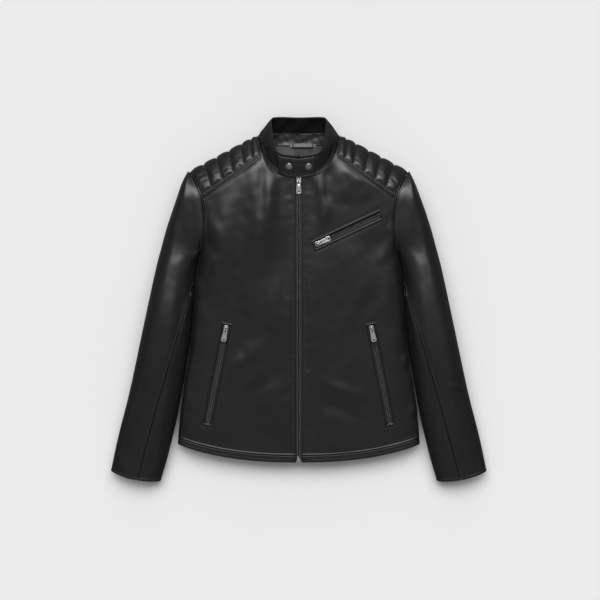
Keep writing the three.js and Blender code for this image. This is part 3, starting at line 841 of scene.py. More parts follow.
@dataclass
class Panel:
    """One piece of leather or cloth, cut and shaped on a surface.

    Attributes:
        name: the piece's name.
        nodes: the solids that it stands for.
        surface: its outer face over shares (u, v).
        size: its width and height when flat.
        edges: how its four edges are finished: u low, u high, v low, v high.
        outward: 1 where u crossed with v points out, -1 where it points in.
        relief: extra height over (points, u, v).
        step: spacing of its mesh in the middle.
        thick: the leather's thickness.
        rise: height of the rolled seam beside an edge.
        turn: radius at which a free edge turns under.
        finish: what it is dressed in.
        body: the body that it moves with.
        down: how far below the surface its face lies.
        columns: shares of its width for the mesh, where they are not even.
        points: its face's points by row and column, once laid.
        normals: their normals.
        ways: each point's distance from each of the four edges.
    """

    name: str
    nodes: tuple
    surface: Surface
    size: tuple
    edges: tuple
    outward: int = 1
    relief: Relief | None = None
    step: float = 3.0
    thick: float = 1.2
    rise: float = 0.7
    turn: float = 1.7
    finish: Finish = Finish.LEATHER
    body: str = "jacket"
    down: float = 0.0
    columns: Array | None = field(default=None, repr=False)
    points: Array = field(default=None, repr=False)
    normals: Array = field(default=None, repr=False)
    ways: list = field(default=None, repr=False)

    def lay(self) -> None:
        """Lays the outer face's grid of points, with its relief and its edges' profiles."""
        us = ladder(self.size[0], self.edges[0], self.edges[1], self.step) if self.columns is None else self.columns
        vs = ladder(self.size[1], self.edges[2], self.edges[3], self.step)
        u, v = np.meshgrid(us, vs)
        points = self.surface(u, v)
        normals = normals_of(points) * self.outward
        along = np.linalg.norm(np.diff(points, axis=1), axis=-1)
        up = np.linalg.norm(np.diff(points, axis=0), axis=-1)
        ways = [
            np.pad(np.cumsum(along, 1), ((0, 0), (1, 0))),
            np.pad(np.cumsum(along[:, ::-1], 1), ((0, 0), (1, 0)))[:, ::-1],
            np.pad(np.cumsum(up, 0), ((1, 0), (0, 0))),
            np.pad(np.cumsum(up[::-1], 0), ((1, 0), (0, 0)))[::-1],
        ]
        height = np.full(u.shape, -self.down)
        sewn = (Edge.SEAM, Edge.PIPED)
        if self.relief:
            calm = np.ones(u.shape)
            for way, edge in zip(ways, self.edges):
                if edge in (*sewn, Edge.TURNED):
                    calm = np.minimum(calm, 0.25 + 0.75 * smooth(0, 14, way))
            height = height + self.relief(points, u, v) * calm
        for way, edge in zip(ways, self.edges):
            if edge in sewn:
                rise = self.rise * (2.0 if edge is Edge.PIPED else 1.0)
                height = height + rise * hump(way - 2.0, 1.7) - 1.3 * self.rise * hump(way, 1.0)
                height = height - 0.5 * self.rise * hump(way - SEAM_ROW, 0.7)
            elif edge is Edge.TURNED:
                height = height + 0.45 * hump(way - 2.2, 2.6) - 0.3 * hump(way - HEM_ROW, 0.7)
        self.points = points + normals * height[..., None]
        self.normals = normals_of(self.points) * self.outward
        self.ways = ways

    def _turned(self, points: Array, normals: Array) -> Array:
        """A grid's points with those of the leather that turns under beyond its last row."""
        tangent = unit(points[-1] - points[-2])
        n = normals[-1]
        rows = []
        for a in np.linspace(0, np.pi, 8)[1:]:
            rows.append(points[-1] + tangent * self.turn * math.sin(a) - n * self.turn * (1 - math.cos(a)))
        for back in (2.5, 5.0, 8.0):
            rows.append(points[-1] - tangent * back - n * 2 * self.turn)
        return np.concatenate([points, np.stack(rows)])

    def make(self) -> Piece:
        """Cuts and shapes the piece.

        Returns:
            The finished piece.
        """
        if self.points is None:
            self.lay()
        points, normals = self.points, self.normals
        for edge, kind in enumerate(self.edges):
            if kind is Edge.TURNED:
                p, n = (inwards_from(grid, edge)[::-1] for grid in (points, normals))
                p = self._turned(p, n)
                n = np.concatenate([n, np.repeat(n[-1:], len(p) - len(n), 0)])
                points, normals = (back_from(grid[::-1], edge) for grid in (p, n))
        piece = grid_piece(self.name, points, self.outward)
        solid = piece.modifiers.new("Thickness", "SOLIDIFY")
        solid.thickness, solid.offset = self.thick * MM, -1
        apply_all(piece)
        soften(piece, 60)
        return piece

    def finished(self) -> Piece:
        """Makes the piece and gives it to its body."""
        return hand_over(self.make(), self.body, self.finish, None, *self.nodes)

    def line(self, edge: int, inwards: float) -> tuple[Array, Array]:
        """A line along an edge, on the leather's face.

        Args:
            edge: 0 to 3, as in edges.
            inwards: its distance from the edge.

        Returns:
            Its points and their normals.
        """
        way = inwards_from(self.ways[edge], edge)

        def read(grid: Array) -> Array:
            """The grid at that distance in, along each of its columns."""
            grid = inwards_from(grid, edge)
            columns = range(grid.shape[1])
            return np.array([[np.interp(inwards, way[:, j], grid[:, j, c]) for c in range(3)] for j in columns])

        return read(self.points), unit(read(self.normals))


def fill_channels(panel: Panel, pinned: Array, growth: float = 0.012, cap: float = 1.4) -> None:
    """Blows up a quilted panel between its stitches, as wadding does, by a cloth simulation.

    Args:
        panel: the laid panel; its points are moved.
        pinned: where its face is stitched down.
        growth: share by which the leather is cut larger than its place.
        cap: how far a point may move, in millimetres.
    """
    piece = grid_piece("quilt", panel.points, panel.outward)
    filling = piece.modifiers.new("Filling", "SOLIDIFY")
    filling.thickness, filling.offset = 6 * MM, -1
    apply_all(piece)
    count = pinned.size
    group = piece.vertex_groups.new(name="Stitched")
    group.add(np.flatnonzero(pinned).tolist(), 1.0, "REPLACE")
    group.add(list(range(count, len(piece.data.vertices))), 1.0, "REPLACE")
    pick(piece)
    cloth = piece.modifiers.new("Cloth", "CLOTH")
    settings = cloth.settings
    settings.quality, settings.mass = 5, 0.3
    settings.tension_stiffness = settings.compression_stiffness = 10
    settings.shear_stiffness, settings.bending_stiffness = 5, 4.0
    settings.tension_damping = settings.compression_damping = 12
    settings.vertex_group_mass = "Stitched"
    settings.use_pressure, settings.uniform_pressure_force = True, 8.0
    settings.shrink_min = -growth
    settings.effector_weights.gravity = 0
    cloth.collision_settings.use_collision = False
    cloth.point_cache.frame_start, cloth.point_cache.frame_end = 1, 20
    for number in range(1, 21):
        bpy.context.scene.frame_set(number)
    bpy.ops.object.modifier_apply(modifier=cloth.name)
    co = np.empty(len(piece.data.vertices) * 3)
    piece.data.vertices.foreach_get("co", co)
    moved = co.reshape(-1, 3)[:count].reshape(panel.points.shape) / MM - panel.points
    size = np.linalg.norm(moved, axis=-1, keepdims=True)
    log.info("%s: channels filled by up to %.1f mm", panel.name, size.max())
    panel.points = panel.points + moved * np.minimum(1, cap / np.maximum(size, 1e-9))
    panel.normals = normals_of(panel.points) * panel.outward
    bpy.data.objects.remove(piece)
    bpy.context.scene.frame_set(1)


def grid_piece(name: str, points: Array, outward: int) -> Piece:
    """A grid primitive laid on rows of points.

    Args:
        name: the piece's name.
        points: its points by row and column, in millimetres.
        outward: 1 where columns crossed with rows point out.

    Returns:
        The open piece, facing out, with the grid primitive's own UV map, renamed Cut.
    """
    rows, columns = points.shape[:2]
    deselect()
    bpy.ops.mesh.primitive_grid_add(x_subdivisions=columns - 1, y_subdivisions=rows - 1, size=2)
    piece = bpy.context.active_object
    piece.name = piece.data.name = name
    mesh = piece.data
    co = np.empty(len(mesh.vertices) * 3)
    mesh.vertices.foreach_get("co", co)
    co = co.reshape(-1, 3)
    i = np.rint((co[:, 0] + 1) / 2 * (columns - 1)).astype(int)
    j = np.rint((co[:, 1] + 1) / 2 * (rows - 1)).astype(int)
    mesh.vertices.foreach_set("co", (points[j, i] * MM).ravel())
    if outward < 0:
        mesh.flip_normals()
    mesh.uv_layers[0].name = "Cut"
    mesh.update()
    return piece


def resampled(points: Array, normals: Array, pitch: float) -> tuple[Array, Array, Array]:
    """A line's points at an even pitch, with the direction and normal at each."""
    steps = np.linalg.norm(np.diff(points, axis=0), axis=1)
    at = np.concatenate([[0], np.cumsum(steps)])
    count = max(2, int(at[-1] / pitch))
    want = (np.arange(count) + 0.5) * at[-1] / count
    p = np.stack([np.interp(want, at, points[:, c]) for c in range(3)], 1)
    n = np.stack([np.interp(want, at, normals[:, c]) for c in range(3)], 1)
    return p, unit(np.gradient(p, axis=0)), unit(n)


class Needle:
    """Sews rows of stitches, all of a body's into one piece."""

    def __init__(self) -> None:
        """Models one stitch, a thread that dips at both ends."""
        deselect()
        bpy.ops.mesh.primitive_cylinder_add(
            vertices=6, radius=0.32, depth=2.3, end_fill_type="TRIFAN", rotation=(0, math.pi / 2, 0)
        )
        stitch = bpy.context.active_object
        settle(stitch)
        bpy.ops.object.mode_set(mode="EDIT")
        for bend in (0.7, -0.7):
            bpy.ops.mesh.select_all(action="SELECT")
            bpy.ops.mesh.bisect(plane_co=(bend, 0, 0), plane_no=(1, 0, 0))
        bpy.ops.object.mode_set(mode="OBJECT")
        co = np.array([v.co for v in stitch.data.vertices])
        far = np.abs(co[:, 0]) > 1
        co[far, 1:] *= 0.55
        co[far, 2] -= 0.3
        self.points = co
        self.faces = [tuple(p.vertices) for p in stitch.data.polygons]
        bpy.data.objects.remove(stitch)
        self.rows: dict[str, list] = {}

    def sew(self, body: str, points: Array, normals: Array, pitch: float = 3.1) -> None:
        """Sews a row along a line.

        Args:
            body: the body that the leather moves with.
            points: the line on the leather's face.
            normals: the leather's normals along it.
            pitch: length of a stitch and the space after it.
        """
        p, d, n = resampled(points, normals, pitch)
        ways = (d, np.cross(n, d), n)
        own = self.points + (0, 0, 0.1)
        placed = p[:, None] + sum(way[:, None] * own[None, :, c : c + 1] for c, way in enumerate(ways))
        self.rows.setdefault(body, []).append(placed.reshape(-1, 3))

    def finish(self, body: str, name: str) -> None:
        """Makes one piece of all the stitches on a body."""
        points = np.concatenate(self.rows[body])
        count, each = len(points) // len(self.points), len(self.points)
        faces = [tuple(k + m * each for k in f) for m in range(count) for f in self.faces]
        piece = mesh_piece(name, points, faces)
        soften(piece, 80)
        hand_over(piece, body, Finish.THREAD, "leather")


def cord_piece(name: str, points: Array, radius: float, step: float = 2.5, sides: int = 10) -> Piece:
    """A solid round cord along a line, closed at both ends."""
    flat = np.zeros_like(points)
    flat[:, 2] = 1
    p, d, n = resampled(points, flat, step)
    n = unit(n - d * (n * d).sum(1, keepdims=True))
    side = np.cross(n, d)
    turns = np.arange(sides) * 2 * np.pi / sides
    size = np.full(len(p), radius)
    size[[0, -1]] *= 0.45
    rings = p[:, None] + size[:, None, None] * (
        np.cos(turns)[None, :, None] * n[:, None] + np.sin(turns)[None, :, None] * side[:, None]
    )
    faces = []
    for k in range(len(p) - 1):
        for i in range(sides):
            a, b = k * sides + i, k * sides + (i + 1) % sides
            faces.append((a, b, b + sides, a + sides))
    faces += [tuple(range(sides))[::-1], tuple((len(p) - 1) * sides + i for i in range(sides))]
    piece = mesh_piece(name, rings.reshape(-1, 3), faces)
    face_outwards(piece)
    soften(piece, 70)
    return piece


# ---- the shell
NEEDLE = Needle()


@dataclass
class Shell:
    """The leather shell: fronts, back, yokes, sleeves and hem.

    Attributes:
        coarse: spacing of the large panels' meshes.
    """

    coarse: float = 2.6

    def front_relief(self, side: int) -> Relief:
        """The folds and puckers of a front."""
        right = [
            Fold((92, 300), (96, 60), 30, 4.2, -10),
            Fold((150, 230), (172, 40), 26, 2.6, 8),
            Fold((60, 292), (93, 120), 15, 1.8, -8),
            Fold((48, 262), (56, 168), 13, 1.4, 4),
            Fold((76, 285), (72, 150), 10, -1.8, 3),
            Fold((105, 270), (150, 60), 24, 2.2, 12),
            Fold((168, 200), (160, -60), 26, 2.0, 10),
            Fold((120, 90), (96, -230), 30, 1.8, -16),
            Fold((185, 30), (120, -130), 22, -1.6, 8),
            Fold((70, -90), (165, -175), 16, 2.0, 6),
            Fold((30, -150), (110, -215), 15, -1.2, 6),
            Fold((195, 175), (150, 120), 14, 1.2, 4),
            Fold((200, 150), (165, 85), 12, -1.0, 4),
            Fold((35, 60), (60, -80), 14, 1.2, 6),
        ]
        left = [
            Fold((100, 285), (92, 205), 26, 2.6, 4),
            Fold((44, 270), (56, 130), 18, 2.2, 6),
            Fold((116, 262), (140, 205), 12, 1.4, 4),
            Fold((66, 280), (62, 200), 11, -1.6, -4),
            Fold((40, 255), (50, 150), 12, 1.6, 5),
            Fold((165, 60), (168, -60), 24, 1.2, 6),
            Fold((130, 95), (95, -200), 28, 1.9, 14),
            Fold((178, 40), (120, -110), 22, -1.6, -10),
            Fold((60, 60), (90, -90), 22, 1.2, 8),
            Fold((45, -170), (150, -205), 13, 1.5, -6),
            Fold((30, -215), (140, -262), 14, -1.1, 6),
            Fold((196, 120), (160, 70), 12, 0.9, 4),
        ]
        folds = right if side is RIGHT else left
        seed = 11 if side is RIGHT else 27

        def relief(points: Array, u: Array, v: Array) -> Array:
            """The folds, finer ripples and the puckers along the edges."""
            x, y = np.abs(points[..., 0]), points[..., 1]
            h = 1.6 * sum(f.over(x, y) for f in folds)
            if side is RIGHT:
                h = h + 7.0 * hump(y - 150, 80) * smooth(8, 75, x) * (1 - smooth(140, 196, x))
            h = h + 1.1 * ripple(x, y * 0.5, 80, 210, seed, 20)
            h = h + 0.16 * ripple(x, y * 0.8, 20, 52, seed + 1, 26)
            h = h * self.clear_of_pockets(points, side) - self.pocket_grooves(points, side)
            by_zip = hump(x - 9, 15)
            wave = ripple(x * 0.2, y, 17, 42, seed + 2, 12) + 0.4 * ripple(x * 0.2, y, 9, 15, seed + 5, 8)
            h = h + 0.3 * by_zip * wave
            by_side = hump(FORM.side(y) - x, 22)
            h = h + 0.5 * by_side * ripple(x, y, 22, 60, seed + 3, 14)
            by_hem = hump(y - FORM.hem(x) - 13, 16)
            h = h + 0.35 * by_hem * ripple(x, y * 0.2, 24, 70, seed + 4, 12)
            return h

        return relief

    def by_pockets(self, points: Array, side: int) -> list[tuple[Array, Array]]:
        """How far points are from each of a side's pockets: across it and beyond its ends."""
        found = []
        for pocket in Zips().pockets():
            if pocket.side == side:
                own = (points - pocket.place.origin) @ pocket.place.axes.T
                beyond = np.maximum(pocket.bottom - own[..., 1], own[..., 1] - pocket.top)
                found.append((np.abs(own[..., 0]), beyond))
        return found

    def clear_of_pockets(self, points: Array, side: int) -> Array:
        """1 away from the pockets and 0.1 at their welts, where the leather is held flat."""
        calm = np.ones(points.shape[:2])
        for across, beyond in self.by_pockets(points, side):
            far = np.hypot(np.maximum(0, across - 12), np.maximum(0, beyond))
            calm = np.minimum(calm, 0.1 + 0.9 * smooth(0, 45, far))
        return calm

    def pocket_grooves(self, points: Array, side: int) -> Array:
        """Depth of the leather pulled in along the stitching round the pockets."""
        depth = np.zeros(points.shape[:2])
        for across, beyond in self.by_pockets(points, side):
            ring = np.maximum(across - ZIP.sewn[0], beyond - ZIP.sewn[1])
            depth = np.maximum(depth, 0.8 * hump(ring, 1.5))
        return depth

    def fronts(self) -> None:
        """The two fronts, with the pockets' slots, and their hem bands."""
        low = lambda x: FORM.band_top(x) + 0.4
        panels = {}
        for name, side in SIDES.items():
            front = panels[name] = Panel(
                f"{name}_front_leather", (f"{name}_front",),
                FORM.front(side, FORM.main_window, low, FORM.front_top), (248, 600),
                (Edge.TURNED, Edge.SEAM, Edge.SEAM, Edge.SEAM), side, self.front_relief(side), self.coarse,
            )
            band = Panel(
                f"{name}_front_hem", (f"{name}_front_hem_band",),
                FORM.front(side, FORM.main_window, FORM.hem, FORM.band_top), (252, 13),
                (Edge.TURNED, Edge.PLAIN, Edge.TURNED, Edge.SEAM), side, self.hem_relief(31), self.coarse, rise=0.2,
            )
            front.lay()
            band.finished()
            NEEDLE.sew("jacket", *front.line(0, SEAM_ROW))
            NEEDLE.sew("jacket", *front.line(2, SEAM_ROW))
            NEEDLE.sew("jacket", *band.line(2, HEM_ROW))
        for name, side in SIDES.items():
            piece = panels[name].make()
            for pocket in Zips().pockets():
                if pocket.side == side:
                    combine(piece, pocket.cutter(), "DIFFERENCE")
            hand_over(piece, "jacket", Finish.LEATHER, None, f"{name}_front")

    def hem_relief(self, seed: int) -> Relief:
        """The slight waves of a hem band."""

        def relief(points: Array, u: Array, v: Array) -> Array:
            """A rounded face with long waves."""
            x, y = points[..., 0], points[..., 1]
            return 0.9 * hump(v - 0.45, 0.5) + 0.35 * ripple(x, y * 0.3, 20, 80, seed, 14)

        return relief

    def back(self) -> None:
        """The back panel and its hem band."""

        def relief(points: Array, u: Array, v: Array) -> Array:
            """Waves only where the back is off the ground."""
            x, y = points[..., 0], points[..., 1]
            rest = roll(np.maximum(0, FORM.side(y) - np.abs(x)), 40) * (1 - smooth(0, 3, points[..., 2]))
            return (1 - rest) * 0.5 * ripple(x, y, 30, 90, 51, 16)

        low = lambda x: FORM.band_top(x) + 0.4
        Panel(
            "back_leather", ("back_panel",), FORM.back(low, FORM.back_top), (514, 650),
            (Edge.SEAM,) * 4, -1, relief, self.coarse * 1.2, rise=0.0,
        ).finished()
        Panel(
            "back_hem", ("back_hem_band",), FORM.back(FORM.hem, FORM.band_top), (517, 13),
            (Edge.PLAIN, Edge.PLAIN, Edge.TURNED, Edge.SEAM), -1, None, self.coarse, rise=0.0, turn=1.3,
        ).finished()

    def yokes(self) -> None:
        """The quilted shoulder yokes, whose channels are filled by a cloth simulation."""
        at_seam = np.array([0, 0.035, 0.14, 0.28, 0.465, 0.645, 0.825, 1])
        at_fold = np.array([0, 0.02, 0.1, 0.235, 0.425, 0.61, 0.8, 1])
        width, spacing, lowest = 150, 2.0, -1.2
        counts = [max(3, round((b - a) * width / spacing)) for a, b in zip(at_seam, at_seam[1:])]
        runs = [np.linspace(a, b, n + 1)[:-1] for a, b, n in zip(at_seam, at_seam[1:], counts)]
        columns = np.concatenate([*runs, [1.0]])
        rib = np.clip(np.searchsorted(at_seam, columns, side="right") - 1, 0, 6)
        share = (columns - at_seam[rib]) / (at_seam[rib + 1] - at_seam[rib])
        stitched = np.isclose(share, 0) | np.isclose(share, 1)

        for name, side in SIDES.items():
            plain = FORM.yoke(side)

            def quilted(u: Array, v: Array, plain: Surface = plain) -> Array:
                """The yoke with its columns set out along the channels."""
                t = np.minimum(2 * v, 1)
                low, high = (mix(at_seam[k], at_fold[k], t) for k in (rib, rib + 1))
                return plain(mix(low, high, share), v)

            def relief(points: Array, u: Array, v: Array) -> Array:
                """The channels' swell between their stitches."""
                wide = (at_seam[rib + 1] - at_seam[rib]) * width
                ends = smooth(0, 0.05, v) * (1 - smooth(0.95, 1, v))
                puff = np.sin(np.pi * share) ** 0.6 * np.minimum(3.6, 0.2 * wide) * ends
                waves = ripple(points[..., 0], points[..., 1], 9, 26, 71 + side, 16)
                return puff * 0.85 - 1.0 * stitched + 0.1 * waves

            kind = (Edge.SEAM, Edge.SEAM, Edge.PIPED, Edge.SEAM)
            yoke = Panel(
                f"{name}_quilted_yoke", (f"{name}_shoulder_yoke",), quilted, (width, 210), kind, side,
                relief, 2.3, finish=Finish.QUILTED, columns=columns, rise=0.5,
            )
            yoke.lay()
            near_end = np.minimum(yoke.ways[2], yoke.ways[3]) < 5.4
            near_side = np.minimum(yoke.ways[0], yoke.ways[1]) < 1.5
            fill_channels(yoke, stitched[None] | near_end | near_side)
            yoke.points[..., 2] = np.maximum(yoke.points[..., 2], lowest)
            piece = yoke.finished()
            for k in np.flatnonzero(stitched)[1:-1]:
                NEEDLE.sew("jacket", yoke.points[2:-2, k], yoke.normals[2:-2, k])
            for edge in (2, 3):
                NEEDLE.sew("jacket", *yoke.line(edge, SEAM_ROW))

    def sleeve_relief(self, side: int, start: float) -> Relief:
        """The folds of a sleeve panel that starts at a station."""
        seed = 101 if side is RIGHT else 131
        folds = [
            Fold((248, 235), (262, 60), 14, 1.5, 6),
            Fold((236, 225), (226, 120), 9, 1.2, 4),
            Fold((272, 175), (292, -40), 15, -1.3, 6),
            Fold((266, 30), (288, -170), 15, 1.5, -5),
            Fold((240, 30), (252, -70), 9, -0.7, 3),
            Fold((300, -60), (330, -240), 13, 1.2, 5),
            Fold((318, -250), (340, -350), 14, 1.0, 4),
            Fold((284, -200), (300, -330), 9, 0.9, 3),
        ]
        if side is RIGHT:
            folds.append(Fold((205, 104), (224, 88), 4.0, 1.1, 2))
            folds.append(Fold((206, 90), (226, 66), 4.0, -1.0, 2))
            folds.append(Fold((210, 78), (224, 46), 4.0, 1.0, 2))
        if side is LEFT:
            folds.append(Fold((312, -182), (352, -194), 4.5, 1.5, 4))
            folds.append(Fold((316, -190), (350, -206), 4.0, -1.3, 4))

        def relief(points: Array, u: Array, v: Array) -> Array:
            """The folds and ripples of the sleeve's upper side, flat below."""
            x, y, z = np.abs(points[..., 0]), points[..., 1], points[..., 2]
            top = smooth(0.5, 0.8, z / FORM.sleeve_top(mix(start, 9, v)))
            h = 1.1 * sum(f.over(x, y) for f in folds) * top
            h = h + 0.8 * top * ripple(x, y * 0.35, 45, 120, seed, 18)
            h = h + 0.1 * top * ripple(x, y, 16, 40, seed + 3, 18)
            armpit = hump(np.hypot(x - 212, (y - 70) * 0.5), 15)
            wrinkles = ripple(x * 0.5 + y * 0.9, y * 0.5 - x * 0.4, 11, 26, seed + 1, 16)
            h = h + (0.5 if side is RIGHT else 0.15) * armpit * top * wrinkles
            cuff = hump(v - 1, 0.08)
            h = h + 0.5 * cuff * top * ripple(x, y * 0.3, 16, 50, seed + 2, 12)
            return h

        return relief

    def sleeves(self) -> None:
        """Both sleeves, each an upper and an under panel."""
        apart = 0.0015
        kind = (Edge.SEAM, Edge.SEAM, Edge.PLAIN, Edge.TURNED)
        for name, side in SIDES.items():
            first = lambda s: FORM.fore_turn(s) + apart
            last = lambda s: FORM.hind_turn(s) - apart
            surface = FORM.sleeve_part(side, first, last, 0.0)
            upper = Panel(
                f"{name}_upper_sleeve_leather", (f"{name}_upper_sleeve",), surface, (215, 665), kind, -side,
                self.sleeve_relief(side, 0.0), self.coarse, rise=0.4,
            )
            upper.finished()
            first = lambda s: FORM.hind_turn(s) + apart
            last = lambda s: 1 + FORM.fore_turn(s) - apart
            surface = FORM.sleeve_part(side, first, last, FORM.armpit)
            under = Panel(
                f"{name}_under_sleeve_leather", (f"{name}_under_sleeve",), surface, (95, 410), kind, -side,
                self.sleeve_relief(side, FORM.armpit), self.coarse, rise=0.4,
            )
            under.finished()
            NEEDLE.sew("jacket", *upper.line(0, SEAM_ROW))
            NEEDLE.sew("jacket", *under.line(1, SEAM_ROW))
            NEEDLE.sew("jacket", *upper.line(3, HEM_ROW))
            NEEDLE.sew("jacket", *under.line(3, HEM_ROW))

    def piping(self) -> None:
        """The raised cords along the yokes' front seams and the armholes."""
        neck_x, neck_y = FORM.yoke_neck
        for name, side in SIDES.items():
            x = np.linspace(neck_x + 0.5, 200.6, 60)
            y = mix(neck_y, FORM.yoke_arm_y, (x - neck_x) / (float(FORM.side(FORM.yoke_arm_y)) - neck_x))
            seam = np.stack([side * x, y, FORM.front_z(x, y, True) + 1.1], -1)
            y = np.linspace(270, 100, 90)
            x = FORM.side(y)
            armhole = np.stack([side * x, y, FORM.front_z(x, y, True) + 0.7 - 8 * FORM.closing(y)], -1)
            for label, line, radius in (("yoke", seam, 1.7), ("armhole", armhole, 1.6)):
                cord = cord_piece(f"{name}_{label}_piping", line, radius)
                hand_over(cord, "jacket", Finish.LEATHER, None)

    def build(self) -> None:
        """Builds the whole shell."""
        self.fronts()
        self.back()
        self.yokes()
        self.sleeves()
        self.piping()


# ---- closed pads and hard pieces
@dataclass
class Pad:
    """A thin closed pad with rounded edges that follows a surface.

    Attributes:
        name: the piece's name.
        nodes: the solids that it stands for.
        surface: its middle over shares (u, v).
        size: its width and height.
        thick: its thickness.
        lift: how far its middle lies off the surface.
        outward: 1 where u crossed with v points out.
        round: width of its rounded edge.
        step: spacing of its mesh in the middle.
        relief: extra lift over (points, u, v).
        finish: what it is dressed in.
        slot: the record's slot of its finish, or None for the finish's own; not used.
        body: the body that it moves with.
    """

    name: str
    nodes: tuple
    surface: Surface
    size: tuple
    thick: float
    lift: float = 0.0
    outward: int = 1
    round: float = 1.6
    step: float = 3.0
    relief: Relief | None = None
    finish: Finish = Finish.LEATHER
    slot: str | None = None
    body: str = "jacket"

    def __post_init__(self) -> None:
        """Lays its two faces."""
        us = ladder(self.size[0], Edge.ROUND, Edge.ROUND, self.step)
        vs = ladder(self.size[1], Edge.ROUND, Edge.ROUND, self.step)
        u, v = np.meshgrid(us, vs)
        middle = self.surface(u, v)
        normals = normals_of(middle) * self.outward
        w, h = self.size
        near = np.minimum(np.minimum(u, 1 - u) * w, np.minimum(v, 1 - v) * h)
        lift = np.full(u.shape, self.lift)
        if self.relief:
            lift = lift + self.relief(middle, u, v)
        full = roll(near, self.round) * self.thick / 2
        self.outer = middle + normals * (lift + full)[..., None]
        self.inner = middle + normals * (lift - full)[..., None]
        self.normals = normals

    def line(self, inwards: float) -> tuple[Array, Array]:
        """A closed line round the pad's outer face, that far in from its edge, and its normals."""
        w, h = self.size
        a, b = inwards / w, inwards / h
        turn = [(a, b), (1 - a, b), (1 - a, 1 - b), (a, 1 - b), (a, b)]
        path = np.concatenate([np.linspace(p, q, 40)[:-1] for p, q in zip(turn, turn[1:])])
        rows, columns = self.outer.shape[:2]
        us = ladder(w, Edge.ROUND, Edge.ROUND, self.step)
        vs = ladder(h, Edge.ROUND, Edge.ROUND, self.step)
        i = np.interp(path[:, 0], us, np.arange(columns))
        j = np.interp(path[:, 1], vs, np.arange(rows))
        i0, j0 = np.minimum(i.astype(int), columns - 2), np.minimum(j.astype(int), rows - 2)
        s, t = (i - i0)[:, None], (j - j0)[:, None]

        def read(grid: Array) -> Array:
            """The grid's values along the line."""
            low = mix(grid[j0, i0], grid[j0, i0 + 1], s)
            high = mix(grid[j0 + 1, i0], grid[j0 + 1, i0 + 1], s)
            return mix(low, high, t)

        return read(self.outer), read(self.normals)

    def finished(self) -> Piece:
        """Makes the pad and gives it to its body."""
        rows, columns = self.outer.shape[:2]
        top = np.arange(rows * columns).reshape(rows, columns)
        under = top.copy()
        under[1:-1, 1:-1] = rows * columns + np.arange((rows - 2) * (columns - 2)).reshape(rows - 2, columns - 2)
        points = np.concatenate([self.outer.reshape(-1, 3), self.inner[1:-1, 1:-1].reshape(-1, 3)])

        def quads(a: Array) -> Array:
            """The faces of a grid of numbered points."""
            return np.stack([a[:-1, :-1], a[:-1, 1:], a[1:, 1:], a[1:, :-1]], -1).reshape(-1, 4)

        faces = np.concatenate([quads(top), quads(under)[:, ::-1]])
        if self.outward < 0:
            faces = faces[:, ::-1]
        piece = mesh_piece(self.name, points, faces.tolist())
        soften(piece, 60)
        return hand_over(piece, self.body, self.finish, self.slot, *self.nodes)


def plate(outline: Sequence, low: float, high: float) -> Piece:
    """A flat plate.

    Args:
        outline: its corners (x, y), anticlockwise.
        low: height of its lower face.
        high: height of its upper face.

    Returns:
        The plate, in its own plane.
    """
    deselect()
    bpy.ops.mesh.primitive_circle_add(vertices=len(outline), radius=1, fill_type="NGON")
    piece = bpy.context.active_object
    for vertex, (x, y) in zip(piece.data.vertices, outline):
        vertex.co = (x, y, low)
    bpy.ops.object.mode_set(mode="EDIT")
    bpy.ops.mesh.select_all(action="SELECT")
    bpy.ops.mesh.extrude_region_move(TRANSFORM_OT_translate={"value": (0, 0, high - low)})
    bpy.ops.object.mode_set(mode="OBJECT")
    face_outwards(piece)
    return piece


def block(size: Sequence, centre: Sequence) -> Piece:
    """A box of a size about a centre."""
    deselect()
    bpy.ops.mesh.primitive_cube_add(size=1, location=centre, scale=size)
    piece = bpy.context.active_object
    settle(piece)
    return piece


def rod(
    radius: float, length: float, centre: Sequence, turn: Sequence = (0, 0, 0), sides: int = 20
) -> Piece:
    """A cylinder of a radius and length about a centre, turned from upright."""
    deselect()
    bpy.ops.mesh.primitive_cylinder_add(vertices=sides, radius=radius, depth=length, location=centre, rotation=turn)
    piece = bpy.context.active_object
    settle(piece)
    return piece


def rectangle(x0: float, x1: float, y0: float, y1: float) -> list:
    """A rectangle's corners."""
    return [(x0, y0), (x1, y0), (x1, y1), (x0, y1)]


def rounded(outline: Sequence, radius: float, steps: int = 4) -> list:
    """An outline with its corners rounded.

    Args:
        outline: its corners.
        radius: how far from a corner the rounding starts.
        steps: edges on each rounded corner.

    Returns:
        The finer outline.
    """
    out = []
    for k, corner in enumerate(outline):
        c = np.array(corner, float)
        before, after = (np.array(outline[m % len(outline)], float) for m in (k - 1, k + 1))
        a = c + (before - c) * min(0.5, radius / np.linalg.norm(before - c))
        b = c + (after - c) * min(0.5, radius / np.linalg.norm(after - c))
        for t in np.linspace(0, 1, steps + 1):
            out.append(tuple(mix(mix(a, c, t), mix(c, b, t), t)))
    return out


def combine(piece: Piece, other: Piece, operation: str) -> Piece:
    """Unites a piece with another or carves the other out of it, and removes the other."""
    boolean = piece.modifiers.new("Cut", "BOOLEAN")
    boolean.operation, boolean.solver, boolean.object = operation, "MANIFOLD", other
    apply_all(piece)
    bpy.data.objects.remove(other)
    return piece


def bevelled(piece: Piece, width: float, segments: int = 2) -> Piece:
    """Rounds a piece's sharp edges."""
    bevel = piece.modifiers.new("Rounding", "BEVEL")
    bevel.width, bevel.segments, bevel.limit_method = width, segments, "ANGLE"
    bevel.angle_limit = math.radians(35)
    apply_all(piece)
    return piece


def join(first: Piece, *others: Piece) -> Piece:
    """Makes one object of several."""
    pick(first)
    for o in others:
        o.select_set(True)
    bpy.ops.object.join()
    return first


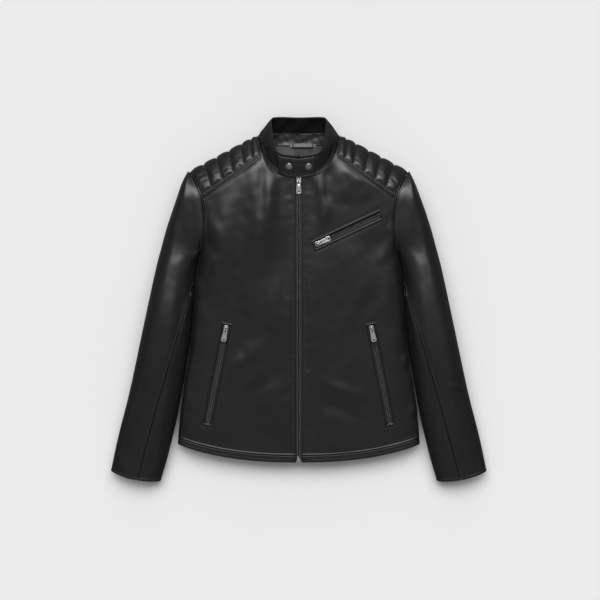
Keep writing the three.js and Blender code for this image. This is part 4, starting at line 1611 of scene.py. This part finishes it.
def raise_top(piece: Piece, steps: Sequence) -> Piece:
    """Shapes a piece's top face by insetting and raising it.

    Args:
        piece: the piece, upright.
        steps: pairs of inset and rise.

    Returns:
        The piece.
    """
    mesh = piece.data
    for kind in (mesh.vertices, mesh.edges, mesh.polygons):
        for item in kind:
            item.select = False
    top = max(mesh.polygons, key=lambda f: f.center.z + 0.01 * f.area)
    top.select = True
    pick(piece)
    bpy.ops.object.mode_set(mode="EDIT")
    bpy.ops.mesh.select_mode(type="FACE")
    for inset, rise in steps:
        bpy.ops.mesh.inset(thickness=inset)
        bpy.ops.transform.translate(value=(0, 0, rise))
    bpy.ops.object.mode_set(mode="OBJECT")
    return piece


@dataclass(frozen=True)
class Place:
    """A frame of its own for a small assembly.

    Attributes:
        origin: its origin, in millimetres.
        axes: its x, y and z directions.
    """

    origin: Array
    axes: Array

    @classmethod
    def facing(cls, origin: Sequence, towards: Sequence, outwards: Sequence) -> "Place":
        """A frame whose y runs one way and whose z faces another."""
        y = np.array(towards, float) / np.linalg.norm(towards)
        x = np.cross(y, outwards)
        x /= np.linalg.norm(x)
        return cls(np.array(origin, float), np.stack([x, y, np.cross(x, y)]))

    def world(self, points: Array) -> Array:
        """Its points as the jacket's."""
        return self.origin + points @ self.axes

    def put(self, piece: Piece) -> Piece:
        """Moves a piece made in this frame, in millimetres, to its place, in metres."""
        turn = Matrix(self.axes.T.tolist()).to_4x4()
        piece.data.transform(Matrix.Scale(MM, 4) @ Matrix.Translation(self.origin.tolist()) @ turn)
        piece.data.update()
        return piece


# ---- zips
@dataclass(frozen=True)
class ZipSizes:
    """The sizes that all the zips share, in millimetres.

    Attributes:
        head: how far from the middle a tooth starts.
        chain: how far from the middle it ends.
        tape: half-width of the whole zip.
        half: half-thickness of the teeth.
        pitch: spacing of one side's teeth.
        clear: space between the teeth and the slider's plates.
        slider: the slider's width and length.
        pivot: y and z of the pull's pivot.
        pull: the pull tab's length.
        sewn: how far the stitches round a pocket run, from its middle and beyond its ends.
    """

    head: float = 0.6
    chain: float = 3.4
    tape: float = 14.0
    half: float = 1.2
    pitch: float = 2.5
    clear: float = 0.4
    slider: tuple = (10.4, 14.0)
    pivot: tuple = (-1.5, 4.9)
    pull: float = 27.0
    sewn: tuple = (13.2, 5.6)


ZIP = ZipSizes()


@dataclass
class Zip:
    """A metal zip in its own frame: y towards its closed end, z off the leather.

    Attributes:
        name: which zip.
        place: its frame; the slider rests at the origin.
        top: where it ends beyond the slider.
        bottom: where it ends at the open end.
    """

    name: str
    place: Place
    top: float
    bottom: float

    def tape(self, side: int) -> Piece:
        """One side's tape, with the corded edge that the teeth grip."""
        long, middle = self.top - self.bottom, (self.top + self.bottom) / 2
        band = bevelled(block((ZIP.tape - 3.9, long, 0.7), (side * (ZIP.tape + 3.9) / 2, middle, 0)), 0.2, 1)
        bead = rod(0.62, long, (side * 3.95, middle, 0), (math.pi / 2, 0, 0), 10)
        return join(band, bead)

    def teeth(self, side: int, low: float, high: float) -> Piece:
        """One side's teeth between two places, set half a pitch from the other side's."""
        tooth = block((ZIP.chain - ZIP.head, 1.35, 2 * ZIP.half), (side * (ZIP.chain + ZIP.head) / 2, 0, 0))
        bevelled(tooth, 0.3, 1)
        points = np.array([v.co for v in tooth.data.vertices])
        faces = [tuple(f.vertices) for f in tooth.data.polygons]
        bpy.data.objects.remove(tooth)
        count = int((high - low) / ZIP.pitch)
        at = low + (np.arange(count) + (0.25 if side > 0 else 0.75)) * (high - low) / count
        row = points[None] + at[:, None, None] * np.array([0, 1, 0])
        every = [tuple(k + m * len(points) for k in f) for m in range(count) for f in faces]
        return mesh_piece("teeth", row.reshape(-1, 3) / MM, every)

    def slider(self) -> Piece:
        """The slider: two plates joined by a neck, flanges at the sides and an arched bridge for the pull."""
        w, l = ZIP.slider[0] / 2, ZIP.slider[1] / 2
        low = ZIP.half + ZIP.clear
        half = [(w * 0.7, -l), (w, -l * 0.2), (w, l * 0.72), (w * 0.55, l)]
        corners = [(-half[0][0], half[0][1]), *half, *((-x, y) for x, y in half[:0:-1])]
        outline = rounded(corners, 1.2, 3)
        over = bevelled(plate(outline, low, low + 1.0), 0.32)
        under = bevelled(plate(outline, -low - 1.0, -low), 0.3)
        neck = block((0.9, 8, 2 * low + 0.5), (0, 2, 0))
        flanges = [
            bevelled(block((0.7, 8.5, 0.9), (side * (w - 0.4), -0.6, low - 0.35)), 0.15, 1) for side in (-1, 1)
        ]
        arch = [(-4.5, low + 0.3), (4.5, low + 0.3), (4.5, 6.4), (2.9, 7.2), (-2.9, 7.2), (-4.5, 6.4)]
        bridge = plate(rounded(arch, 1.0, 3), -1.2, 1.2)
        window = plate(rounded(rectangle(-3.2, 3.2, 2.9, 6.1), 0.9, 3), -3, 3)
        bridge = bevelled(combine(bridge, window, "DIFFERENCE"), 0.3)
        stand = Matrix(((0, 0, 1, 0), (1, 0, 0, 0), (0, 1, 0, 0), (0, 0, 0, 1)))
        bridge.data.transform(stand)
        return join(over, under, neck, *flanges, bridge)

    def pull(self) -> Piece:
        """The pull tab: an eye round the bridge, a tapered body and a slot at its end."""
        y, z = ZIP.pivot
        top, bottom = y + 0.7, y + 0.7 - ZIP.pull
        low = bottom + 3
        tab = [(-5.8, low), (-4.2, bottom), (4.2, bottom), (5.8, low), (3.6, top), (-3.6, top)]
        body = plate(rounded(tab, 1.3, 4), z - 0.6, z + 0.6)
        eye = plate(rounded(rectangle(-1.7, 1.7, y - 6.7, y - 0.7), 0.8, 3), z - 3, z + 3)
        slot = plate(rounded(rectangle(-2.5, 2.5, bottom + 2.3, bottom + 5), 1.0, 4), z - 3, z + 3)
        body = combine(combine(body, eye, "DIFFERENCE"), slot, "DIFFERENCE")
        bevelled(body, 0.28)
        rib = bevelled(block((3.2, 7.5, 0.3), (0, bottom + 11.5, z + 0.62)), 0.1, 1)
        return join(body, rib)

    def fit(self, piece: Piece, name: str, body: str, finish: Finish, *nodes: str) -> Piece:
        """Puts a piece in the zip's place and gives it to its body."""
        piece.name = piece.data.name = name
        self.place.put(piece)
        soften(piece, 40)
        return hand_over(piece, body, finish, None, *nodes)

    def runner(self) -> None:
        """Fits the slider and its pull."""
        name = self.name
        self.fit(self.slider(), f"{name}_slider_cast", f"{name}_slider", Finish.NICKEL, f"{name}_zip_slider")
        self.fit(self.pull(), f"{name}_pull_tab", f"{name}_pull", Finish.POLISHED, f"{name}_zip_pull")


@dataclass
class MainZip(Zip):
    """The open-ended front zip."""

    def build(self) -> None:
        """Fits its tapes, teeth, stops, retainer box, pin and slider."""
        for name, side in SIDES.items():
            self.fit(self.tape(side), f"main_{name}_tape", "jacket", Finish.TAPE, f"main_zip_{name}_tape")
            teeth = self.teeth(side, self.bottom + 9.4, self.top - 3)
            self.fit(teeth, f"main_{name}_teeth", "jacket", Finish.TEETH, f"main_zip_{name}_teeth")
            stop = bevelled(block((2.4, 2.6, 2.2), (side * 2.2, self.top - 1.5, 0)), 0.4)
            self.fit(stop, f"main_{name}_stop", "jacket", Finish.NICKEL, f"main_zip_{name}_top_stop")
        cup = bevelled(block((3.2, 9, 3.2), (-1.8, self.bottom + 4.5, 0)), 0.5)
        foot = bevelled(block((6.8, 3, 3.2), (0, self.bottom + 1.5, 0)), 0.5)
        self.fit(combine(cup, foot, "UNION"), "main_retainer", "jacket", Finish.POLISHED, "main_zip_retainer_box")
        pin = bevelled(block((2, 5.4, 2), (2.2, self.bottom + 6.0, 0)), 0.4)
        self.fit(pin, "main_pin", "jacket", Finish.NICKEL, "main_zip_insertion_pin")
        self.runner()


@dataclass
class PocketZip(Zip):
    """A pocket's zip with its leather welt and its bag.

    Attributes:
        side: the side of the jacket.
        bag: the bag's (x0, x1, y0, y1).
    """

    side: int = LEFT
    bag: tuple = ()

    def build(self) -> None:
        """Fits the zip, its stop, welt, bartacks and bag."""
        tape = join(self.tape(-1), self.tape(1))
        for end in (self.bottom - 3, self.top + 3):
            tape = join(tape, bevelled(block((2 * ZIP.tape, 5, 0.7), (0, end, 0)), 0.2, 1))
        self.fit(tape, f"{self.name}_tape", "jacket", Finish.TAPE, f"{self.name}_zip_tape")
        low, high = self.bottom + 2.4, self.top - 1
        stop = bevelled(block((6.8, 2, 2.4), (0, self.bottom + 0.9, 0)), 0.4)
        teeth = join(self.teeth(-1, low, high), self.teeth(1, low, high), stop)
        self.fit(teeth, f"{self.name}_teeth", "jacket", Finish.TEETH, f"{self.name}_zip_teeth")
        self.runner()
        self.welt()
        x0, x1, y0, y1 = self.bag
        flat = lambda u, v: self.place.world(np.stack([mix(x0, x1, u), mix(y0, y1, v), np.full_like(u, -4.3)], -1))
        wave = lambda p, u, v: 0.35 * ripple(p[..., 0], p[..., 1], 20, 60, 301, 12)
        Pad(
            f"{self.name}_bag", (f"{self.name}_pocket_bag",), flat, (x1 - x0, y1 - y0), 1.2,
            0, 1, 1.2, 5.0, wave, Finish.LINING,
        ).finished()

    def on_leather(self, s: Array, t: Array, lift: Array) -> Array:
        """Points over the leather at s across and t along the zip, raised off it."""
        flat = self.place.world(np.stack([s, t, np.full_like(s, 3.0)], -1))
        x, y = np.abs(flat[..., 0]), flat[..., 1]
        step = 0.5
        z = FORM.front_z(x, y)
        slope_x = (FORM.front_z(x + step, y) - FORM.front_z(x - step, y)) / (2 * step) * np.sign(flat[..., 0])
        slope_y = (FORM.front_z(x, y + step) - FORM.front_z(x, y - step)) / (2 * step)
        n = unit(np.stack([-slope_x, -slope_y, np.ones_like(x)], -1))
        return np.stack([flat[..., 0], flat[..., 1], z + 0.4], -1) + n * lift[..., None]

    def welt(self) -> None:
        """The raised leather frame round the slot, its stitching and a bartack at each end."""
        profile = np.array([
            (0.2, -0.6), (0.0, 0.9), (0.6, 1.9), (1.7, 2.3), (2.9, 2.1),
            (3.8, 1.2), (4.0, -0.2), (3.9, -1.6), (3.1, -1.8), (2.6, -0.6),
        ])
        outer = np.array(rounded(rectangle(-10.9, 10.9, self.bottom - 3.3, self.top + 3.3), 2.0, 5))
        finer = []
        for a, b in zip(outer, np.roll(outer, -1, 0)):
            count = max(1, int(np.linalg.norm(b - a) / 2.5))
            finer += [mix(a, b, k / count) for k in range(count)]
        path = np.array(finer)
        ahead = np.roll(path, -1, 0) - np.roll(path, 1, 0)
        inward = unit(np.stack([-ahead[:, 1], ahead[:, 0]], -1))
        at = path[:, None] + inward[:, None] * profile[None, :, :1]
        lift = np.broadcast_to(profile[:, 1], at.shape[:2])
        rings = self.on_leather(at[..., 0], at[..., 1], lift)
        n, m = rings.shape[:2]
        faces = []
        for i in range(n):
            for j in range(m):
                here, there, after = i * m, (i + 1) % n * m, (j + 1) % m
                faces.append((here + j, there + j, there + after, here + after))
        piece = mesh_piece(f"{self.name}_welt_leather", rings.reshape(-1, 3), faces)
        face_outwards(piece)
        soften(piece, 70)
        hand_over(piece, "jacket", Finish.LEATHER, None, f"{self.name}_welt")
        out, beyond = ZIP.sewn
        sewn = np.array(rectangle(-out, out, self.bottom - beyond, self.top + beyond))
        for a, b in zip(sewn, np.roll(sewn, -1, 0)):
            run = np.linspace(a, b, 40)
            flat = np.zeros(40)
            face = self.on_leather(run[:, 0], run[:, 1], flat)
            NEEDLE.sew("jacket", face, self.on_leather(run[:, 0], run[:, 1], flat + 1) - face)
        bars = []
        for t in (self.bottom - 1.4, self.top + 1.2):
            u = np.linspace(-8.5, 8.5, 9)
            face = self.on_leather(u, np.full_like(u, t), np.full_like(u, 1.5))
            bars.append(cord_piece("bar", face, 0.75, 1.2))
        bars = join(*bars)
        bars.name = bars.data.name = f"{self.name}_bartacks"
        hand_over(bars, "jacket", Finish.THREAD, "leather")

    def cutter(self) -> Piece:
        """A block that cuts the slot in the front."""
        size = (15.6, self.top - self.bottom + 0.6, 40)
        return self.place.put(block(size, (0, (self.top + self.bottom) / 2, 0)))


@dataclass
class Zips:
    """All four zips.

    Attributes:
        hand: a hand pocket's low and high ends in the plan.
        chest: the chest pocket's.
        sunk: how far below the leather a pocket's zip lies.
    """

    hand: tuple = ((194, -262), (154, -62))
    chest: tuple = ((168, 176), (41, 117))
    sunk: float = 3.0

    def main(self) -> MainZip:
        """The front zip."""
        rise = FORM.front_high - FORM.front_low
        run = FORM.neck_y - FORM.hem_y
        closed = 249.0
        length = (closed - FORM.hem_y) * math.hypot(1, rise / run)
        place = Place.facing((0, closed, FORM.zip_height(closed) - 2.4), (0, run, rise), (0, 0, 1))
        return MainZip("main", place, 6.0, 2.5 - length)

    def pocket(self, name: str, ends: tuple, side: int) -> PocketZip:
        """A pocket between two points of the plan, low end first."""

        def on(p: Sequence) -> Array:
            """The point of the front over a point of the plan."""
            return np.array([side * p[0], p[1], float(FORM.front_z(np.array(float(p[0])), np.array(float(p[1]))))])

        low, high = on(ends[0]), on(ends[1])
        towards = high - low
        middle = np.mean(ends, axis=0)
        crossing = np.array([towards[1], -towards[0]])
        crossing *= 12 / np.linalg.norm(crossing)
        edge = [on((middle[0] + side * k * crossing[0], middle[1] + k * crossing[1])) for k in (1, -1)]
        outwards = np.cross(edge[0] - edge[1], towards)
        outwards /= np.linalg.norm(outwards)
        place = Place.facing(high - outwards * self.sunk, towards, outwards)
        length = float(np.linalg.norm(towards))
        top, bottom = 9.0, -length - 3
        reach, start = (60, bottom + 14) if name == "chest" else (112, bottom - 8)
        bag = (-20, reach, start, top + 8) if side is RIGHT else (-reach, 20, start, top + 8)
        return PocketZip(name, place, top, bottom, side, bag)

    def pockets(self) -> list[PocketZip]:
        """The three pocket zips."""
        wanted = (("right", self.hand, RIGHT), ("left", self.hand, LEFT), ("chest", self.chest, LEFT))
        return [self.pocket(*each) for each in wanted]


# ---- collar
@dataclass
class Collar:
    """The stand collar with its strap and two snap fasteners.

    Attributes:
        span: the strap's ends by x.
        up: its lower and upper edges as shares of the collar's height.
        snap_x: how far from the middle the snaps are.
    """

    span: tuple = (-41.0, 33.0)
    up: tuple = (0.02, 0.9)
    snap_x: float = 20.0

    def build(self) -> None:
        """Builds the collar's two layers, the strap and its snaps."""
        wave = lambda p, u, v: 0.5 * ripple(p[..., 0] + p[..., 2], p[..., 1], 18, 60, 401, 14)
        kind = (Edge.TURNED, Edge.TURNED, Edge.SEAM, Edge.TURNED)
        surface = lambda u, v: FORM.collar(u * 14, v)
        outer = Panel(
            "collar_outer_leather", ("collar_outer",), surface, (330, 42), kind, -1, wave, 1.8,
            down=-1.8, turn=1.5, rise=0.9,
        )
        outer.finished()
        for edge in (2, 3):
            NEEDLE.sew("jacket", *outer.line(edge, 4.8))
        kind = (Edge.PLAIN, Edge.PLAIN, Edge.SEAM, Edge.PLAIN)
        surface = lambda u, v: FORM.collar(mix(0.06, 13.94, u), mix(0.0, 0.965, v))

        def folds(p: Array, u: Array, v: Array) -> Array:
            """Folds across the facing, none at its edges."""
            return 1.1 * ripple(p[..., 0] - 0.5 * p[..., 2], p[..., 1] * 0.3, 14, 44, 407, 12) * np.sin(np.pi * v)

        Panel(
            "collar_facing_leather", ("collar_facing",), surface, (320, 40), kind, 1, folds, 2.2, down=-1.6
        ).finished()
        self.strap()
        for name, side in SIDES.items():
            self.snap(name, side * self.snap_x)

    def strap(self) -> None:
        """The strap across the front of the collar."""
        surface = lambda u, v: FORM.collar_front(mix(*self.span, u), mix(*self.up, v))
        dip = lambda p, u, v: 0.25 * ripple(p[..., 0], p[..., 1], 12, 40, 411, 10)
        strap = Pad(
            "collar_strap_leather", ("collar_tab",), surface, (76, 36), 2.6, 5.5, 1, 1.5, 1.8, dip,
            body="collar_strap",
        )
        strap.finished()
        NEEDLE.sew("collar_strap", *strap.line(3.6))

    def snap(self, name: str, x: float) -> None:
        """A snap fastener: cap and socket on the strap, stud on the collar."""
        at = lambda dx, up: FORM.collar_front(np.array(x + dx), np.array(up))
        centre = at(0, 0.5)
        across = at(1, 0.5) - at(-1, 0.5)
        rise = at(0, 0.55) - centre
        place = Place.facing(centre, rise, np.cross(across, rise))
        cap = rod(7.3, 0.7, (0, 0, 7.15), sides=48)
        raise_top(cap, [(0.5, 0.25), (0.35, -0.12), (0.35, 0.28), (1.1, 0.5), (1.4, 0.4), (1.6, 0.2), (1.0, 0.04)])
        bevelled(cap, 0.12, 1)
        socket = rod(5.5, 1.1, (0, 0, 3.55), sides=40)
        combine(socket, rod(2.6, 4, (0, 0, 3.5), sides=32), "DIFFERENCE")
        bevelled(socket, 0.2)
        stud = rod(5, 0.4, (0, 0, 2.4), sides=40)
        raise_top(stud, [(3.0, 0.0), (0.05, 0.9), (-0.2, 0.1), (0.25, 0.25)])
        parts = (
            (cap, "cap", "collar_strap", Finish.NICKEL),
            (socket, "socket", "collar_strap", Finish.SNAP),
            (stud, "stud", "jacket", Finish.SNAP),
        )
        for piece, label, body, finish in parts:
            piece.name = piece.data.name = f"{name}_{label}_metal"
            place.put(piece)
            soften(piece, 40)
            hand_over(piece, body, finish, None, f"{name}_snap_{label}")


# ---- inside
@dataclass
class Inside:
    """Linings, wadding, the hanging loop and the blank label."""

    def build(self) -> None:
        """Builds everything inside the shell."""
        self.linings()
        self.wadding()
        self.neck()

    def linings(self) -> None:
        """The body's and the sleeves' linings, wrinkled as loose satin lies."""
        plain = (Edge.PLAIN,) * 4

        def creased(seed: int, size: float) -> Relief:
            """Soft creases of a size."""

            def relief(p: Array, u: Array, v: Array) -> Array:
                """Waves and sharper bends between them."""
                x, y = p[..., 0], p[..., 1]
                bend = 1 - np.abs(ripple(x + 0.6 * y, y - 0.4 * x, 26, 70, seed, 12))
                return size * (0.5 * ripple(x, y, 24, 80, seed + 1, 16) + 0.5 * bend)

            return relief

        top = lambda x: FORM.back_top(x) - 8 - 24 * smooth(40, 78, x)
        back = FORM.back(lambda x: FORM.hem(x) + 6, top, 16)
        piece = Panel(
            "back_lining_cloth", ("back_lining",), back, (480, 640), plain, 1, creased(501, 1.0), 3.2, 0.5,
            down=-3.9, finish=Finish.LINING,
        ).finished()
        for name, side in SIDES.items():
            front = FORM.front(side, 3, lambda x: FORM.hem(x) + 6, lambda x: FORM.front_top(x) - 4, 6)
            piece = Panel(
                f"{name}_lining_cloth", (f"{name}_front_lining",), front, (250, 600), plain, side,
                creased(511 + side, 0.8), 5.0, 0.5, down=10.2, finish=Finish.LINING,
            ).finished()
            tube = lambda u, v, side=side: FORM.sleeve(mix(5.1, 8.95, v), u) * (side, 1, 1)
            piece = Panel(
                f"{name}_sleeve_cloth", (f"{name}_sleeve_lining",), tube, (230, 420), plain, -side,
                creased(521 + side, 0.7), 5.0, 0.5, down=6.0, finish=Finish.LINING,
            ).finished()
            tube = lambda u, v, side=side: FORM.sleeve(mix(8.7, 8.985, v), u) * (side, 1, 1)
            Panel(f"{name}_cuff_facing", (), tube, (230, 16), plain, -side, None, 4.0, 0.5, down=3.0).finished()

    def wadding(self) -> None:
        """The wadding under the quilted yokes."""
        for name, side in SIDES.items():
            yoke = FORM.yoke(side)
            middle = lambda u, v: yoke(mix(0.06, 0.94, u), mix(0.07, 0.4, v))
            lumps = lambda p, u, v: 0.2 * ripple(p[..., 0], p[..., 1], 10, 30, 601, 12)
            pad = Pad(
                f"{name}_wadding_felt", (f"{name}_yoke_wadding",), middle, (125, 75), 3.0, -5.1,
                side, 1.6, 4.0, lumps, Finish.WADDING,
            )
            pad.finished()

    def neck(self) -> None:
        """The facing, the hanging loop and the label inside the back neck."""
        ground = 5.6

        def loop(u: Array, v: Array) -> Array:
            """The loop: flat at its sewn ends, arched between them."""
            half = 28
            x = mix(-half, half, u)
            return np.stack([9 + x, mix(326, 334, v), ground + 4.2 * smooth(5, 9, half - np.abs(x))], -1)

        def band(u: Array, v: Array) -> Array:
            """The facing: from inside the collar's seam down to the back lining."""
            index = mix(5.2, 8.8, u)
            top = FORM.collar(index, np.full_like(u, 0.1)) * (0.96, 1, 1) + (0, -2.2, 0)
            low = np.stack([top[..., 0] * 0.86, np.full_like(u, 330), np.full_like(u, ground)], -1)
            dip = 1.2 * np.sin(np.pi * v)[..., None] * (0, 0, 1)
            return mix(top, low, v[..., None]) - dip

        ease = lambda p, u, v: 0.4 * ripple(p[..., 0], p[..., 1], 14, 50, 621, 10)
        Pad("back_neck_facing", (), band, (150, 27), 1.4, 0.0, -1, 0.8, 2.5, ease).finished()
        strap = Pad(
            "hanger_loop_strap", ("hanger_loop",), loop, (58, 8), 1.2, 0, 1, 0.7, 1.2, None,
            Finish.RIBBON, "leather", "hang_loop",
        )
        strap.finished()
        NEEDLE.sew("hang_loop", *strap.line(1.6), pitch=2.6)
        flat = lambda u, v: np.stack([mix(-9, 29, u), mix(301, 323, v), np.full_like(u, 5.4)], -1)
        curl = lambda p, u, v: 0.25 * ripple(p[..., 0], p[..., 1], 14, 40, 611, 8)
        label = Pad("woven_label", ("blank_label",), flat, (38, 22), 0.5, 0.2, 1, 0.4, 1.5, curl, Finish.LABEL)
        label.finished()
        NEEDLE.sew("jacket", *label.line(1.4), pitch=2.2)


# ---- studio
@dataclass
class Studio:
    """A pale floor, soft light from beyond the collar and a camera straight above.

    Attributes:
        reach: the camera's height.
        lens: its focal length.
    """

    reach: float = 3.05
    lens: float = 85.0

    def floor(self) -> None:
        """A large pale floor under the jacket."""
        deselect()
        bpy.ops.mesh.primitive_plane_add(size=14, location=(0, 0, -0.0015))
        floor = bpy.context.active_object
        floor.name = "studio_floor"
        settle(floor)
        g = Graph("floor_paper")
        tone = g.noise(g.place(), 3, 2)
        paper = g.tint(tone, (0.77, 0.77, 0.77), (0.785, 0.785, 0.785))
        g.dress(Base_Color=paper, Roughness=0.95, Specular_IOR_Level=0.0)
        floor.data.materials.append(g.material)
        floor.visible_glossy = False
        floor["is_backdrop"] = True

    def sun(self, name: str, towards: tuple, strength: float, spread: float) -> None:
        """A broad soft light from one side.

        Args:
            name: the light's name.
            towards: where it stands, seen from the jacket.
            strength: its power.
            spread: its width across the sky, in degrees.
        """
        data = bpy.data.lights.new(name, "SUN")
        data.energy, data.angle = strength, math.radians(spread)
        light = bpy.data.objects.new(name, data)
        light.rotation_mode = "QUATERNION"
        light.rotation_quaternion = Vector(towards).to_track_quat("Z", "Y")
        bpy.context.scene.collection.objects.link(light)

    def softbox(self, at: tuple, aim: tuple, size: tuple, power: float) -> None:
        """A wide lamp over the collar that lights the jacket and leaves the floor alone.

        Args:
            at: where it hangs.
            aim: the point it faces.
            size: its width and depth.
            power: its power.
        """
        data = bpy.data.lights.new("softbox", "AREA")
        data.shape, data.size, data.size_y, data.energy = "RECTANGLE", *size, power
        light = bpy.data.objects.new("softbox", data)
        light.location = at
        light.rotation_mode = "QUATERNION"
        light.rotation_quaternion = (Vector(at) - Vector(aim)).to_track_quat("Z", "Y")
        bpy.context.scene.collection.objects.link(light)
        spared = bpy.data.collections.new("unlit_by_softbox")
        spared.objects.link(bpy.data.objects["studio_floor"])
        light.light_linking.receiver_collection = spared
        spared.collection_objects[0].light_linking.link_state = "EXCLUDE"

    def build(self) -> None:
        """Sets up the floor, the lights, the sky and the camera."""
        self.floor()
        self.sun("left_key", (-0.4, 0.75, 1.1), 1.6, 40)
        self.sun("right_key", (0.4, 0.75, 1.1), 1.35, 40)
        self.softbox((-0.02, 0.8, 1.1), (0.0, 0.1, 0.05), (0.8, 0.5), 12.0)
        self.sun("left_light", (-1.0, 0.1, 0.7), 0.1, 40)
        self.sun("right_light", (1.0, 0.1, 0.7), 0.06, 40)
        self.sun("high_light", (0.0, 1.0, 0.3), 0.6, 60)
        self.sun("low_light", (0.0, -1.0, 1.2), 0.36, 80)
        world = bpy.data.worlds.new("studio_sky")
        world.use_nodes = True
        sky = world.node_tree.nodes["Background"]
        sky.inputs[0].default_value, sky.inputs[1].default_value = (1, 1, 1, 1), 0.15
        bpy.context.scene.world = world
        bpy.context.scene.view_settings.view_transform = "Standard"
        data = bpy.data.cameras.new("camera")
        data.lens, data.sensor_width = self.lens, 36
        data.clip_start, data.clip_end = 0.05, 50
        camera = bpy.data.objects.new("camera", data)
        camera.location = (0.0026, -0.0015, self.reach)
        bpy.context.scene.collection.objects.link(camera)
        bpy.context.scene.camera = camera


def main() -> None:
    """Builds the jacket and its studio in order."""
    logging.basicConfig(level=logging.INFO, format="%(message)s")
    cad_low, cad_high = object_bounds()
    Studio().build()
    Shell().build()
    Zips().main().build()
    for pocket in Zips().pockets():
        pocket.build()
    Collar().build()
    Inside().build()
    for body in sorted(NEEDLE.rows):
        NEEDLE.finish(body, f"{body}_stitching")
    low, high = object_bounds()
    {"cad": [list(cad_low), list(cad_high)], "visual": [list(low), list(high)]}


if __name__ == "__main__":
    main()
